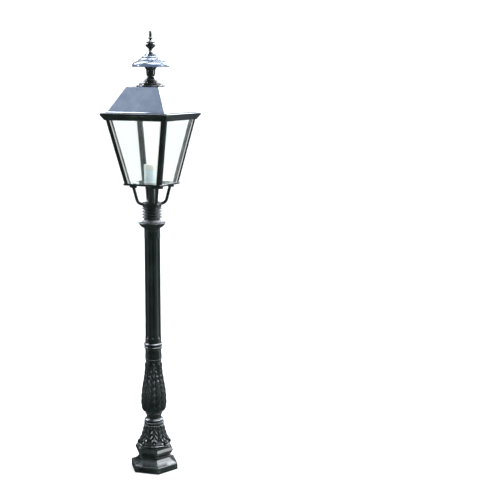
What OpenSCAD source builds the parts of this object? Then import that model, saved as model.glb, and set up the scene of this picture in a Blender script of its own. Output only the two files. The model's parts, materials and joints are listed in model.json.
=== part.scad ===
// Garden lantern: a four-sided glazed head with a hinged roof, on four curved
// arms that turn on top of a cast post with a hexagonal foot.
// Millimetres, +Z up, origin on the ground at the centre of the foot.
// The lantern's faces look along X and Y; the front is -Y.

/* [Foot] */
// Width of the hexagonal plinth across its flats
plinth_w = 184; // [165:1:230]
// Height of the plinth's upright sides
plinth_side_h = 26; // [15:1:38]
// Width across the flats at the foot's waist
waist_w = 122; // [112:1:140]
// Height of the waist above the ground
waist_z = 52; // [44:1:58]
// Width across the flats of the block above the waist
block_w = 152; // [140:1:170]
// Height of the block's upright band
block_band_h = 15; // [8:1:20]
// Height of the whole hexagonal foot
foot_h = 100; // [90:1:120]
// Turn of the foot from the lantern's faces, in degrees
foot_turn = 7.4; // [-30:0.1:30]
// Wall of the hollow castings
casting_wall = 7; // [4:0.5:9]

/* [Ground plate] */
// Diameter of the ground plate inside the foot
plate_d = 150; // [136:1:160]
// Thickness of the ground plate
plate_t = 8; // [5:0.5:12]
// Diameter of the circle of anchor holes
anchor_pcd = 116; // [100:1:124]
// Diameter of the anchor holes
anchor_hole_d = 11; // [8:0.5:14]
// Number of anchor holes
anchor_count = 3; // [3:1:6]
// Height of the socket that holds the core pipe
plate_socket_h = 30; // [15:1:50]
// Wall of that socket
plate_socket_wall = 8; // [4:0.5:12]
// Diameter of the cable entry
cable_hole_d = 30; // [16:1:34]

/* [Core pipe] */
// Outside diameter of the core pipe
pipe_d = 42.4; // [36:0.1:46]
// Wall of the core pipe
pipe_wall = 3.2; // [2:0.1:5]
// Height of the nut that clamps the castings on the pipe
lock_nut_h = 10; // [6:0.5:14]

/* [Post castings] */
// Diameter of the round collar on top of the foot
foot_collar_d = 135; // [130:1:142]
// Height of that collar
foot_collar_h = 11; // [6:1:16]
// Height of the leaf bell with its collar
bell_h = 107; // [90:1:130]
// Diameter of the bell at its lower edge
bell_foot_d = 130; // [115:1:134]
// Diameter of the bell at its neck
bell_neck_d = 85; // [76:1:92]
// Height of the beaded collar on top of the bell
bell_collar_h = 22; // [16:1:28]
// Height of the waist ring casting
waist_ring_h = 43; // [34:1:60]
// Diameter of the waist ring's thick roll
waist_roll_d = 83; // [74:1:92]
// Diameter of the waist ring's neck
waist_neck_d = 61; // [56:1:68]
// Height of the baluster
baluster_h = 222; // [180:1:280]
// Diameter at the baluster's lower end
baluster_foot_d = 76; // [66:1:84]
// Largest diameter of the baluster
baluster_d = 103; // [92:1:115]
// Diameter at the baluster's upper end
baluster_top_d = 67; // [60:1:76]
// Height from the baluster's lower end to its widest point
baluster_belly_z = 38; // [28:1:60]
// Number of leaves round the bell and the baluster
leaf_count = 8; // [6:1:12]
// Height of the relief of the leaves
leaf_relief = 2.5; // [1:0.5:4]
// Height of the beaded ring
bead_ring_h = 12; // [9:1:16]
// Diameter over the beads
bead_ring_d = 71; // [66:1:78]
// Number of beads in the ring
bead_count = 20; // [12:1:28]
// Height of the plain collar
plain_collar_h = 40; // [26:1:60]
// Diameter of the plain collar at its ends
plain_collar_d = 72; // [66:1:80]
// Height of the double ring
double_ring_h = 34; // [30:1:44]
// Diameter of the lower roll of the double ring
lower_roll_d = 75; // [72:1:84]
// Diameter of the upper roll of the double ring
upper_roll_d = 79; // [74:1:88]
// Length of the fluted shaft
shaft_h = 478; // [300:1:900]
// Diameter of the shaft at its foot
shaft_foot_d = 68.5; // [64:0.5:74]
// Diameter of the shaft at its top
shaft_top_d = 66.5; // [62:0.5:72]
// Number of flutes
flute_count = 8; // [6:1:10]
// Depth of a flute
flute_depth = 3.4; // [1:0.1:4.5]
// Radius of the hollow of a flute
flute_r = 14; // [10:0.5:20]
// Plain length of shaft below the flutes
flute_foot_gap = 9; // [4:1:40]
// Plain length of shaft above the flutes
flute_top_gap = 30; // [6:1:60]
// Turn of the flutes from the foot's corners, in degrees
flute_turn = 21; // [0:1:45]
// Height of the capital
capital_h = 46; // [38:1:60]
// Diameter of the capital's dish
capital_d = 116; // [110:1:130]
// Height of the dish's rim above the capital's foot
capital_dish_h = 30; // [27:1:32]
// Diameter of the capital's top
capital_top_d = 66; // [64:1:72]
// Number of petals on the capital
petal_count = 20; // [12:1:28]

/* [Neck and arms] */
// Height of the ribbed neck
neck_h = 48; // [40:1:70]
// Diameter of the neck between its ribs
neck_d = 54; // [52:1:62]
// Diameter over the ribs
neck_rib_d = 82; // [74:0.5:90]
// Thickness of a rib
neck_rib_h = 5.5; // [3:0.5:7]
// Height of a rib's outer edge above its root
neck_rib_rise = 4; // [0:0.5:5]
// Number of ribs
neck_rib_count = 4; // [3:1:5]
// Diameter of the screws that lock the neck to the pipe
socket_screw_d = 6; // [4:1:6]
// Height of the hub that holds the arms
hub_h = 19.5; // [17:0.5:26]
// Diameter of the hub
hub_d = 80; // [74:1:90]
// Thickness of an arm
arm_d = 13; // [10:0.5:14]
// Radius of the bend of an arm
arm_bend_r = 25; // [18:1:32]
// Angle of the arm's upper part from level, in degrees
arm_lean = 75; // [68:1:84]
// Rise from the middle of the arms' roots to the tray
arm_rise = 79.5; // [66:0.5:110]
// Width of the pad on top of an arm
arm_pad_w = 44; // [24:1:50]
// Depth of that pad away from the centre
arm_pad_l = 20; // [16:1:30]
// Thickness of that pad
arm_pad_t = 10; // [8:0.5:16]
// Diameter of the screws that hold the tray on the arms
arm_screw_d = 8; // [5:1:8]
// Outside diameter of the cable conduit
conduit_d = 33.7; // [24:0.1:36]
// Wall of the conduit
conduit_wall = 2.6; // [1.5:0.1:4]

/* [Lantern body] */
// Width of the square tray
tray_w = 172; // [168:1:200]
// Height of the tray's edge
tray_h = 9; // [7:0.5:16]
// Thickness of the tray's floor
tray_floor_t = 4; // [3:0.5:5]
// Width of the tray's rim
tray_rim_w = 9.5; // [6:0.5:10]
// Thickness of the white reflector plate
reflector_t = 1.5; // [1:0.1:2.5]
// Width of the glazed body where it stands on the tray
body_foot_w = 170; // [150:1:172]
// Width of the glazed body under the cornice
body_top_w = 274; // [240:1:276]
// Height of the glazed body
body_h = 258.5; // [200:0.5:330]
// Width of each leg of a corner stile
stile_w = 19; // [16:0.5:26]
// Thickness of a stile's legs
stile_t = 3; // [2:0.5:4]
// Width of the solid core of a stile
stile_core = 10; // [9:0.5:12]
// Width that the chamfer takes off each face at a stile's corner
stile_chamfer = 5; // [1:0.5:5]
// Diameter of the screws in the stiles' ends
stile_screw_d = 3; // [2:0.5:4]
// Depth of the screw holes in the stiles' ends
stile_screw_l = 14; // [8:1:20]
// Thickness of the seals in front of the glass
seal_t = 1; // [0.5:0.1:2]
// Thickness of the glass
glass_t = 3; // [2:0.5:4]
// Width of seal that shows beside a stile
seal_show = 5; // [1:0.5:8]
// Width of the angle strips behind the glass
strip_w = 12; // [8:0.5:14]
// Depth of the angle strips behind the glass
strip_depth = 12; // [6:0.5:12]
// Thickness of the angle strips
strip_t = 2; // [1:0.1:3]
// Height of the cornice
cornice_h = 29; // [24:1:40]
// How far the cornice's foot stands out past the body
cornice_foot_lip = 2; // [1.5:0.5:6]
// How far the cornice's top stands out past its foot
cornice_flare = 14; // [10:1:20]
// Height of the cornice's upright edge
cornice_edge_h = 10; // [6:1:14]
// Wall of the cornice
cornice_wall = 4; // [3:0.5:5]
// How far the cornice's foot reaches in from the body's outside
cornice_foot_in = 14; // [13:0.5:24]
// Width of the ledge round the roof
ledge_w = 18.5; // [17:0.5:22]
// Thickness of the seal under the roof
gasket_t = 2; // [1:0.5:4]
// Width of the seal under the roof
gasket_w = 7; // [4:0.5:10]

/* [Roof] */
// Width of the roof's flat top
roof_top_w = 147; // [124:1:180]
// Height of the roof
roof_h = 102.5; // [80:0.5:140]
// Height of the roof's upright rim
roof_rim_h = 5; // [3:0.5:8]
// Thickness of the roof's sheet
roof_t = 2.5; // [1.5:0.5:4]
// Distance of the hinge pins from the cornice's back edge
hinge_inset = 7; // [6:0.5:9]
// Radius of the hinge knuckles
hinge_r = 4.2; // [3.5:0.1:4.8]
// Diameter of the hinge pins
hinge_pin_d = 4; // [3:0.1:5]
// Length of each hinge
hinge_l = 36; // [24:1:60]
// Distance of each hinge from the middle
hinge_x = 70; // [40:1:100]
// Diameter of the rivets that hold the hinges
hinge_rivet_d = 3; // [2:0.5:4]

/* [Finial] */
// Diameter of the finial's flange on the roof
flange_d = 118; // [100:1:122]
// Height of the stepped finial base
finial_base_h = 24; // [20:1:32]
// Height of the vase-shaped neck
vase_h = 56; // [44:1:80]
// Diameter of the hood
hood_d = 150; // [120:1:180]
// Height of the hood
hood_h = 46; // [40:1:60]
// Diameter of the lower of the hood's two steps
hood_step_d = 99; // [90:1:110]
// Height of the spire
spire_h = 99.5; // [94:0.5:130]
// Diameter of the spire's foot on the hood
spire_foot_d = 46; // [40:1:50]
// Diameter of the spire's urn
spire_urn_d = 41; // [32:1:48]
// Height of the urn's foot above the hood
spire_urn_z = 22; // [20:1:30]
// Length of the spindle at the spire's tip
spindle_l = 26.5; // [20:0.5:40]
// Diameter of the rod through the finial
rod_d = 8; // [6:0.5:10]
// Length of the rod inside the spire
rod_in_spire = 14; // [8:1:16]

/* [Lamp] */
// Outside diameter of the opal cylinder
opal_d = 60; // [57:1:66]
// Wall of the opal cylinder
opal_wall = 2.5; // [2:0.5:3.5]
// Height of the glass cylinder
opal_h = 76; // [70:1:90]
// Height of the white cap on the cylinder
opal_cap_h = 23; // [12:1:30]
// Diameter of the lampholder
holder_d = 28; // [26:1:34]
// Height of the lampholder
holder_h = 24; // [18:1:28]
// Diameter of the lamp's screw thread
lamp_thread_d = 14; // [12:1:18]
// Diameter of the lamp's bulb
bulb_d = 24; // [18:1:30]
// Gap between the bulb and the cylinder's cap
bulb_gap = 10; // [5:1:14]
// Diameter of the earthing screw
earth_screw_d = 5; // [4:0.5:6]

/* [Clearances] */
// Gap round the pipe in the castings
bore_gap = 0.3; // [0.1:0.05:0.6]
// Gap round a turning or screwed fit
running_gap = 0.05; // [0.02:0.01:0.1]
// Gap between pieces that move past each other
moving_gap = 0.3; // [0.2:0.05:0.6]
// Solder gap between neighbouring panels of the roof, measured along a side
solder_gap = 0.2; // [0.1:0.05:0.5]

/* [Hidden] */

// Colours
enamel = "#26322f";
sheet = "#3a4653";
steel = "#8d9296";
white = "#eceeec";
black_rubber = "#1c1c1c";
putty = "#b9bdb9";
clear = [0.75, 0.85, 0.85, 0.35];
opal = "#e6eef2";
brass = "#b08d4a";

// Steps of a turned piece and of an arc in its outline
turn_fn = 72;
arc_n = 6;
curve_n = 10;
// Overlap that makes cuts run clear through
cut = 1;

// Heights of the post's castings, each standing on the one below
bell_z = foot_h;
waist_ring_z = bell_z + bell_h;
baluster_z = waist_ring_z + waist_ring_h;
bead_ring_z = baluster_z + baluster_h;
plain_collar_z = bead_ring_z + bead_ring_h;
double_ring_z = plain_collar_z + plain_collar_h;
shaft_z = double_ring_z + double_ring_h;
capital_z = shaft_z + shaft_h;
capital_top_z = capital_z + capital_h;

// Heights of the head
neck_z = capital_top_z + moving_gap;
hub_z = neck_z + neck_h;
arm_z = hub_z + hub_h - arm_d / 2;
tray_z = arm_z + arm_rise;
tray_floor_z = tray_z + tray_floor_t;
reflector_top_z = tray_floor_z + reflector_t;
body_z = tray_z + tray_h;
cornice_z = body_z + body_h;
ledge_z = cornice_z + cornice_h;
roof_z = ledge_z + gasket_t + moving_gap;
roof_top_z = roof_z + roof_h;
vase_z = roof_top_z + finial_base_h;
hood_z = vase_z + vase_h;
spire_z = hood_z + hood_h + moving_gap;

// Widths of the cornice's foot, top and clear opening, and of the roof's rim
cornice_foot_w = body_top_w + 2 * cornice_foot_lip;
cornice_w = cornice_foot_w + 2 * cornice_flare;
cornice_opening_w = body_top_w - 2 * cornice_foot_in;
roof_w = cornice_w - 2 * ledge_w;

// Level thickness of the roof's sloping sheet, and half the roof's width at a height
roof_slope_t = roof_t / sin(atan2(roof_h - roof_rim_h, (roof_w - roof_top_w) / 2));
function roof_half(z) =
    (roof_w - (z - roof_z - roof_rim_h) * (roof_w - roof_top_w) / (roof_h - roof_rim_h)) / 2;

// Bores
pipe_bore_d = pipe_d + 2 * bore_gap;
socket_bore_d = pipe_d + 2 * running_gap;
pipe_top_z = hub_z - 1;
spigot_d = (neck_d + socket_bore_d) / 2;
spigot_h = 5;
land_h = 12;
shaft_bore_d = pipe_d + 6;

// Lock nut and its recess in the capital, both covered by the neck
lock_nut_d = neck_d - 4;
lock_recess_d = neck_d - 2;

// Ribs of the neck, and the locking screws in the hollow below the last rib
rib_pitch = neck_h / (neck_rib_count - 0.1);
first_rib_z = neck_z + neck_rib_h / 2 + 2;
socket_screw_z = first_rib_z + (neck_rib_count - 1.5) * rib_pitch - neck_rib_rise;

// Arms
arm_spigot_d = arm_d - 3;
arm_root_r = hub_d / 2 - 2;
arm_spigot_l = 18;
arm_bend_start = arm_root_r + 2;
arm_bend_end = [arm_bend_start + arm_bend_r * sin(arm_lean), arm_z + arm_bend_r * (1 - cos(arm_lean))];
arm_pad_z = tray_z - arm_pad_t;
arm_top_r = arm_bend_end[0] + (arm_pad_z + 1 - arm_bend_end[1]) / tan(arm_lean);

// Depths of the panes behind the body's outside, and their distance from its corners
pane_front = stile_t + seal_t;
pane_rear = pane_front + glass_t;
pane_side = stile_core + 0.5;

// Place of the earthing screw on the reflector plate
earth_place = [-48, 30];

// Heads of the stiles' screws, and how deep they sit under the stiles
stile_head_d = 1.8 * stile_screw_d;
stile_head_h = 0.6 * stile_screw_d;
stile_head_depth = 4;

// Cylinder cover and lamp
gallery_t = 1.5;
gallery_rim_h = 6;
conduit_nut_w = conduit_d + 8;
conduit_nut_h = 8;
conduit_top_z = reflector_top_z + conduit_nut_h + 2;
holder_base_h = 4;
holder_z = conduit_top_z + holder_base_h;
lamp_z = holder_z + holder_h + 1;
opal_z = reflector_top_z + gallery_t + moving_gap;
bulb_top_z = opal_z + opal_h - bulb_gap;

// Roof hinge axis
hinge_y = cornice_w / 2 - hinge_inset;
hinge_z = ledge_z + hinge_r + 1.8;
leaf_t = 1.5;
knuckle_l = hinge_l / 3;

// Points along an arc in the plane of a turned outline
function arc(c, r, a, b, n = arc_n) =
    [for (i = [0:n]) c + r * [cos(a + (b - a) * i / n), sin(a + (b - a) * i / n)]];

// Points along a smooth curve from p to s with handles q and r
function curve(p, q, r, s, n = curve_n) =
    [for (i = [0:n]) let (t = i / n, u = 1 - t)
        u * u * u * p + 3 * u * u * t * q + 3 * u * t * t * r + t * t * t * s];

// Half-round roll that stands out of a wall, from its lower to its upper edge
function roll(r_out, z_mid, h) = arc([r_out - h / 2, z_mid], h / 2, -90, 90);

// Outline moved towards the axis, but not into the pipe's bore
function inset_outline(points, by) = [for (p = points) [max(pipe_bore_d / 2, p[0] - by), p[1]]];

// Solid of revolution from an outline of [radius, height] points
module turned(points, low, high, angle = 360) {
    rotate_extrude(angle = angle, $fn = turn_fn)
        polygon(concat([[0, low]], points, [[0, high]]));
}

module bore(d, z, h) {
    translate([0, 0, z - cut]) cylinder(d = d, h = h + 2 * cut, $fn = turn_fn);
}

// Prism moulding: the outline [distance of the face from the axis, height] on
// each of the given number of pairs of faces
module faced(points, pairs) {
    reach = 2.5 * max([for (p = points) p[0]]);
    both = concat(points, [for (i = [len(points) - 1:-1:0]) [-points[i][0], points[i][1]]]);
    intersection_for (k = [0:pairs - 1])
        rotate(k * 180 / pairs) rotate([90, 0, 0])
            linear_extrude(height = reach, center = true) polygon(both);
}

// Hex nut or bolt head with an optional hole
module hex(w, h, hole = 0) {
    difference() {
        cylinder(d = w / cos(30), h = h, $fn = 6);
        if (hole > 0) translate([0, 0, -cut]) cylinder(d = hole, h = h + 2 * cut, $fn = 48);
    }
}

// Cheese-head screw, its head's underside at z = 0 and its shank downwards
module screw(d, l, head_d, head_h) {
    difference() {
        union() {
            cylinder(d = head_d, h = head_h, $fn = 32);
            translate([0, 0, -l]) cylinder(d = d, h = l + head_h / 2, $fn = 32);
        }
        translate([-head_d, -head_h / 4, head_h * 0.6]) cube([2 * head_d, head_h / 2, head_h]);
    }
}

// Steel plate on the ground with its anchor holes
module anchor_plate() {
    color(steel) difference() {
        cylinder(d = plate_d, h = plate_t, $fn = turn_fn);
        bore(cable_hole_d, 0, plate_t);
        for (k = [0:anchor_count - 1])
            rotate(foot_turn + k * 360 / anchor_count) translate([anchor_pcd / 2, 0, 0])
                bore(anchor_hole_d, 0, plate_t);
    }
}

// Ring welded on the plate that holds the core pipe's foot
module pipe_socket() {
    color(steel) difference() {
        translate([0, 0, plate_t]) cylinder(d = pipe_d + 2 * plate_socket_wall, h = plate_socket_h, $fn = turn_fn);
        bore(pipe_d + 2 * running_gap, plate_t, plate_socket_h);
    }
}

// Pipe that the castings are threaded on and the head turns on
module core_pipe() {
    color(steel) difference() {
        translate([0, 0, plate_t]) cylinder(d = pipe_d, h = pipe_top_z - plate_t, $fn = turn_fn);
        bore(pipe_d - 2 * pipe_wall, 0, pipe_top_z);
    }
}

// Hexagonal foot: upright sides, hollow sloping skirt, waist bead and block
module plinth() {
    side = plinth_w / 2;
    waist = waist_w / 2;
    block = block_w / 2;
    lip = 2;
    bead_h = 5;
    band_z = foot_h - block_band_h;
    outside = concat(
        [[side, 0], [side, plinth_side_h], [side - lip, plinth_side_h + lip], [side - 2 * lip, plinth_side_h + lip]],
        curve([side - 3 * lip, plinth_side_h + lip], [side - 16, plinth_side_h + 7],
            [waist + 6, waist_z - 14], [waist, waist_z - 2], 6),
        [[waist + lip, waist_z], [waist + lip, waist_z + bead_h]],
        curve([waist, waist_z + bead_h + 1], [waist + 4, waist_z + bead_h + 9],
            [block - 8, band_z - 12], [block, band_z], 6),
        [[block - 5, foot_h - 4], [block - 6, foot_h - 4], [block - 7, foot_h]]
    );
    w = casting_wall;
    inside = [[side - w, -cut], [side - w, plinth_side_h - w / 2],
        [waist - w, waist_z - w], [waist - w, foot_h - 2 * w]];
    color(enamel) rotate(foot_turn + 30) difference() {
        faced(outside, 3);
        faced(inside, 3);
        bore(pipe_bore_d, 0, foot_h);
    }
}

// Raised leaves: sectors of an outline that stand on a lower ground
module leaf_sectors(points, low, high, share) {
    step = 360 / leaf_count;
    for (k = [0:leaf_count - 1])
        rotate(k * step - share * step / 2) turned(points, low, high, share * step);
}

// Round collar and leaf-covered bell
module leaf_bell() {
    foot = bell_z + foot_collar_h;
    neck = bell_z + bell_h - bell_collar_h;
    top = bell_z + bell_h;
    r_collar = foot_collar_d / 2;
    r_neck = bell_neck_d / 2;
    bell = concat(
        [[bell_foot_d / 2 - 4, foot], [bell_foot_d / 2, foot + 3]],
        curve([bell_foot_d / 2, foot + 5], [bell_foot_d / 2 - 9, foot + 17],
            [r_neck + 5, neck - 24], [r_neck, neck])
    );
    ground = [for (p = bell) [p[0] - leaf_relief, p[1]]];
    rolls = concat(
        [[r_neck, neck + 0.5]],
        roll(r_neck + 2, neck + 4, 6),
        [[r_neck, neck + 7.5], [r_neck, top - 7]],
        roll(r_neck + 1.5, top - 3.5, 6),
        [[r_neck - 4, top]]
    );
    collar = concat([[r_collar, bell_z]], arc([r_collar - 4, foot - 4], 4, 0, 90), [[r_collar - 6, foot]]);
    inside = concat([[ground[0][0] - casting_wall, bell_z - cut]], inset_outline(ground, casting_wall));
    color(enamel) difference() {
        union() {
            turned(concat(collar, ground, rolls), bell_z, top);
            leaf_sectors(bell, foot, neck, 0.82);
        }
        turned(inside, bell_z - cut, neck);
        bore(pipe_bore_d, bell_z, bell_h);
    }
}

// Thick roll, plain neck and thin ring between bell and baluster
module waist_ring() {
    r_neck = waist_neck_d / 2;
    r_roll = waist_roll_d / 2;
    top = waist_ring_z + waist_ring_h;
    ring_z = top - 8;
    roll_h = 12;
    outline = concat(
        [[r_roll - 5, waist_ring_z]],
        roll(r_roll, waist_ring_z + roll_h / 2, roll_h),
        curve([r_neck + 2, waist_ring_z + roll_h + 0.5], [r_neck, waist_ring_z + roll_h + 4],
            [r_neck, ring_z - 9], [r_neck + 3, ring_z - 3], 6),
        roll(baluster_foot_d / 2 - 0.5, ring_z, 5),
        [[r_neck + 2, ring_z + 3], [r_neck + 2, top]]
    );
    color(enamel) difference() {
        turned(outline, waist_ring_z, top);
        bore(pipe_bore_d, waist_ring_z, waist_ring_h);
    }
}

// Outline of the baluster's leaves
function baluster_outline() = let (
    r = baluster_d / 2, z = baluster_z, belly = z + baluster_belly_z, top = z + baluster_h,
    r_top = baluster_top_d / 2, rise = baluster_h - baluster_belly_z
) concat(
    curve([baluster_foot_d / 2, z], [r - 6, z + 6], [r, belly - 20], [r, belly], 8),
    curve([r, belly + 1], [r, belly + rise * 0.4], [r_top, top - rise * 0.4], [r_top, top - 14], 12),
    [[r_top, top]]
);

// Leaf-covered baluster, hollow inside
module baluster() {
    top = baluster_z + baluster_h;
    low = baluster_z + land_h;
    high = top - 2 * land_h;
    leaves = baluster_outline();
    ground = [for (p = leaves) [p[0] - leaf_relief, p[1]]];
    color(enamel) difference() {
        union() {
            turned(ground, baluster_z, top);
            leaf_sectors(leaves, baluster_z, top, 0.84);
        }
        turned(inset_outline([for (p = ground) if (p[1] > low && p[1] < high) p], casting_wall), low, high);
        bore(pipe_bore_d, baluster_z, baluster_h);
    }
}

// Ring of beads
module bead_ring() {
    bead_r = bead_ring_h / 2 - 0.5;
    ring_r = bead_ring_d / 2 - bead_r;
    color(enamel) difference() {
        union() {
            translate([0, 0, bead_ring_z]) cylinder(r = ring_r + 2.5, h = bead_ring_h, $fn = turn_fn);
            for (k = [0:bead_count - 1])
                rotate(k * 360 / bead_count) translate([ring_r, 0, bead_ring_z + bead_ring_h / 2])
                    sphere(r = bead_r, $fn = 24);
        }
        bore(pipe_bore_d, bead_ring_z, bead_ring_h);
    }
}

// Plain collar, a little waisted
module plain_collar() {
    r = plain_collar_d / 2;
    z = plain_collar_z;
    h = plain_collar_h;
    color(enamel) difference() {
        turned(concat([[r - 0.5, z], [r, z + 1]], curve([r, z + 4], [r - 0.5, z + h * 0.4],
            [r - 2.5, z + h * 0.5], [r - 1, z + h - 1], 6), [[r - 1, z + h]]), z, z + h);
        bore(pipe_bore_d, z, h);
    }
}

// Two rolls one above the other
module double_ring() {
    z = double_ring_z;
    top = z + double_ring_h;
    r_low = lower_roll_d / 2;
    r_high = upper_roll_d / 2;
    outline = concat(
        [[r_low - 4, z]],
        roll(r_low, z + 7, 10),
        [[r_low - 4, z + 13.5]],
        roll(r_high, z + 21, 12),
        [[shaft_foot_d / 2 + 1, z + 28], [shaft_foot_d / 2, top]]
    );
    color(enamel) difference() {
        turned(outline, z, top);
        bore(pipe_bore_d, z, double_ring_h);
    }
}

// Cutter for one flute with rounded ends
module flute(l) {
    turned(concat(arc([0, flute_r], flute_r, -90, 0, 4), arc([0, l - flute_r], flute_r, 0, 90, 4)), 0, l);
}

// Tapered shaft with flutes
module fluted_shaft() {
    low = shaft_z + flute_foot_gap;
    flute_l = shaft_h - flute_foot_gap - flute_top_gap;
    r_foot = shaft_foot_d / 2;
    r_top = shaft_top_d / 2;
    tilt = atan((r_foot - r_top) / shaft_h);
    color(enamel) difference() {
        translate([0, 0, shaft_z]) cylinder(r1 = r_foot, r2 = r_top, h = shaft_h, $fn = turn_fn);
        for (k = [0:flute_count - 1])
            rotate(foot_turn + flute_turn + k * 360 / flute_count)
                translate([r_foot - flute_depth + flute_r, 0, low]) rotate([0, -tilt, 0]) flute(flute_l);
        bore(pipe_bore_d, shaft_z, shaft_h);
        translate([0, 0, shaft_z + land_h])
            cylinder(d = shaft_bore_d, h = shaft_h - 2 * land_h, $fn = turn_fn);
    }
}

// Dish with an upturned rim, and a skirt of petals inside it
module capital() {
    z = capital_z;
    r = capital_d / 2;
    r_top = capital_top_d / 2;
    r_foot = shaft_top_d / 2;
    rim_z = z + capital_dish_h;
    skirt_r = r - 15;
    skirt_z = rim_z - 3.5;
    skirt_top_z = capital_top_z - 4;
    petal_r = PI * (skirt_r + r_top) / 2 / petal_count;
    slope = atan2(skirt_top_z - skirt_z, skirt_r - r_top);
    length = norm([skirt_top_z - skirt_z, skirt_r - r_top]);
    outline = concat(
        [[r_foot, z], [r_foot + 0.5, z + 1], [r_foot + 0.5, z + 4.5], [r_foot + 1.5, z + 6]],
        [[r - 14, rim_z - 19.5], [r - 10.5, rim_z - 15.5], [r - 6, rim_z - 11], [r - 3.5, rim_z - 6]],
        arc([r - 2, rim_z - 2], 2, -30, 120),
        [[r - 8, rim_z - 2.5], [skirt_r, skirt_z]],
        curve([skirt_r - 0.5, skirt_z + 1], [skirt_r - 5, skirt_z + 2], [r_top + 1, skirt_top_z - 8],
            [r_top, skirt_top_z], 6),
        [[r_top, capital_top_z]]
    );
    color(enamel) difference() {
        union() {
            turned(outline, z, capital_top_z);
            for (k = [0:petal_count - 1])
                rotate(k * 360 / petal_count) translate([skirt_r, 0, skirt_z])
                    rotate([0, slope - 90, 0]) cylinder(r1 = petal_r * 0.8, r2 = petal_r * 0.5, h = length, $fn = 16);
        }
        bore(pipe_bore_d, z, capital_h);
        translate([0, 0, capital_top_z - lock_nut_h])
            cylinder(d = lock_recess_d, h = lock_nut_h + cut, $fn = turn_fn);
    }
}

// Slotted ring nut that clamps the castings, sunk in the capital
module lock_nut() {
    color(steel) difference() {
        translate([0, 0, capital_top_z - lock_nut_h]) cylinder(d = lock_nut_d, h = lock_nut_h - 1, $fn = turn_fn);
        bore(pipe_d + 2 * running_gap, capital_top_z - lock_nut_h, lock_nut_h);
        for (a = [0, 90]) rotate(a)
            translate([-lock_nut_d, -2.5, capital_top_z - 5]) cube([2 * lock_nut_d, 5, 5]);
    }
}

// Ribbed neck of the head, which turns on the pipe
module neck_socket() {
    r = neck_d / 2;
    r_rib = neck_rib_d / 2;
    root = neck_rib_h / 2 + 0.5;
    ribs = [for (k = [0:neck_rib_count - 1]) let (z = first_rib_z + k * rib_pitch) each concat(
        [[r, max(neck_z + 0.5, z - neck_rib_rise - root)]],
        roll(r_rib, z, neck_rib_h),
        [[r, z - neck_rib_rise + root]]
    )];
    color(enamel) difference() {
        union() {
            turned(concat([[r, neck_z]], ribs, [[r, hub_z]]), neck_z, hub_z);
            translate([0, 0, hub_z - cut]) cylinder(d = spigot_d, h = spigot_h + cut, $fn = turn_fn);
        }
        bore(socket_bore_d, neck_z, neck_h + spigot_h);
        for (k = [0:2]) rotate(60 + k * 120) translate([0, 0, socket_screw_z]) rotate([0, 90, 0])
            cylinder(d = socket_screw_d, h = r + cut, $fn = 32);
    }
}

// Three grub screws with hexagon sockets
module socket_screws() {
    start = socket_bore_d / 2 + moving_gap;
    l = neck_d / 2 - start - 1;
    color(steel) for (k = [0:2]) rotate(60 + k * 120)
        translate([start, 0, socket_screw_z]) rotate([0, 90, 0]) difference() {
            cylinder(d = socket_screw_d, h = l, $fn = 32);
            translate([0, 0, l - 2.5]) cylinder(d = socket_screw_d / 2, h = 4, $fn = 6);
        }
}

// Hub that carries the four arms and the conduit
module arm_hub() {
    r = hub_d / 2;
    top = hub_z + hub_h;
    outline = concat([[r - 3, hub_z]], arc([r - 2.5, hub_z + 2.5], 2.5, -90, 0, 4),
        arc([r - 3, top - 3], 3, 0, 90, 4));
    color(enamel) difference() {
        turned(outline, hub_z, top);
        translate([0, 0, hub_z - cut])
            cylinder(d = spigot_d + 2 * running_gap, h = spigot_h + 0.2 + cut, $fn = turn_fn);
        bore(conduit_d + 2 * running_gap, hub_z, hub_h);
        for (k = [0:3]) rotate(45 + k * 90) translate([arm_root_r - arm_spigot_l, 0, arm_z])
            rotate([0, 90, 0]) cylinder(d = arm_spigot_d + 2 * running_gap, h = arm_spigot_l + 10, $fn = 32);
        for (k = [0:3]) rotate(45 + k * 90) translate([arm_root_r, 0, arm_z])
            rotate([0, 90, 0]) cylinder(d = arm_d + 2 * running_gap, h = 10, $fn = 32);
    }
}

// One arm, drawn along +X: threaded spigot, bend, leaning bar and pad
module arm_shape() {
    run = arm_bend_start - arm_root_r;
    bar_d = arm_d - 0.1;
    bar_l = (arm_pad_z + 3 - arm_bend_end[1]) / sin(arm_lean);
    color(enamel) difference() {
        union() {
            translate([arm_root_r - arm_spigot_l + 0.5, 0, arm_z]) rotate([0, 90, 0])
                cylinder(d = arm_spigot_d, h = arm_spigot_l, $fn = 32);
            translate([arm_root_r + running_gap, 0, arm_z]) rotate([0, 90, 0])
                cylinder(d = bar_d, h = run + 0.5, $fn = 32);
            translate([arm_bend_start, 0, arm_z + arm_bend_r]) rotate([90, 0, 0]) rotate(-90)
                rotate_extrude(angle = arm_lean, $fn = turn_fn)
                    translate([arm_bend_r, 0]) circle(d = arm_d, $fn = 24);
            translate([arm_bend_end[0], 0, arm_bend_end[1]]) rotate([0, 90 - arm_lean, 0])
                translate([0, 0, -0.5]) cylinder(d = bar_d, h = bar_l, $fn = 32);
            translate([arm_top_r - arm_pad_l / 2, -arm_pad_w / 2, arm_pad_z]) cube([arm_pad_l, arm_pad_w, arm_pad_t]);
        }
        translate([arm_top_r, 0, tray_z - arm_pad_t + 2])
            cylinder(d = arm_screw_d, h = arm_pad_t + cut, $fn = 32);
    }
}

module arm(k) {
    rotate(-135 + 90 * k) arm_shape();
}

// Cable conduit from the hub up to the lampholder
module conduit() {
    low = hub_z + spigot_h + 1;
    color(enamel) difference() {
        translate([0, 0, low]) cylinder(d = conduit_d, h = conduit_top_z - low, $fn = turn_fn);
        bore(conduit_d - 2 * conduit_wall, low, conduit_top_z - low);
    }
}

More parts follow.
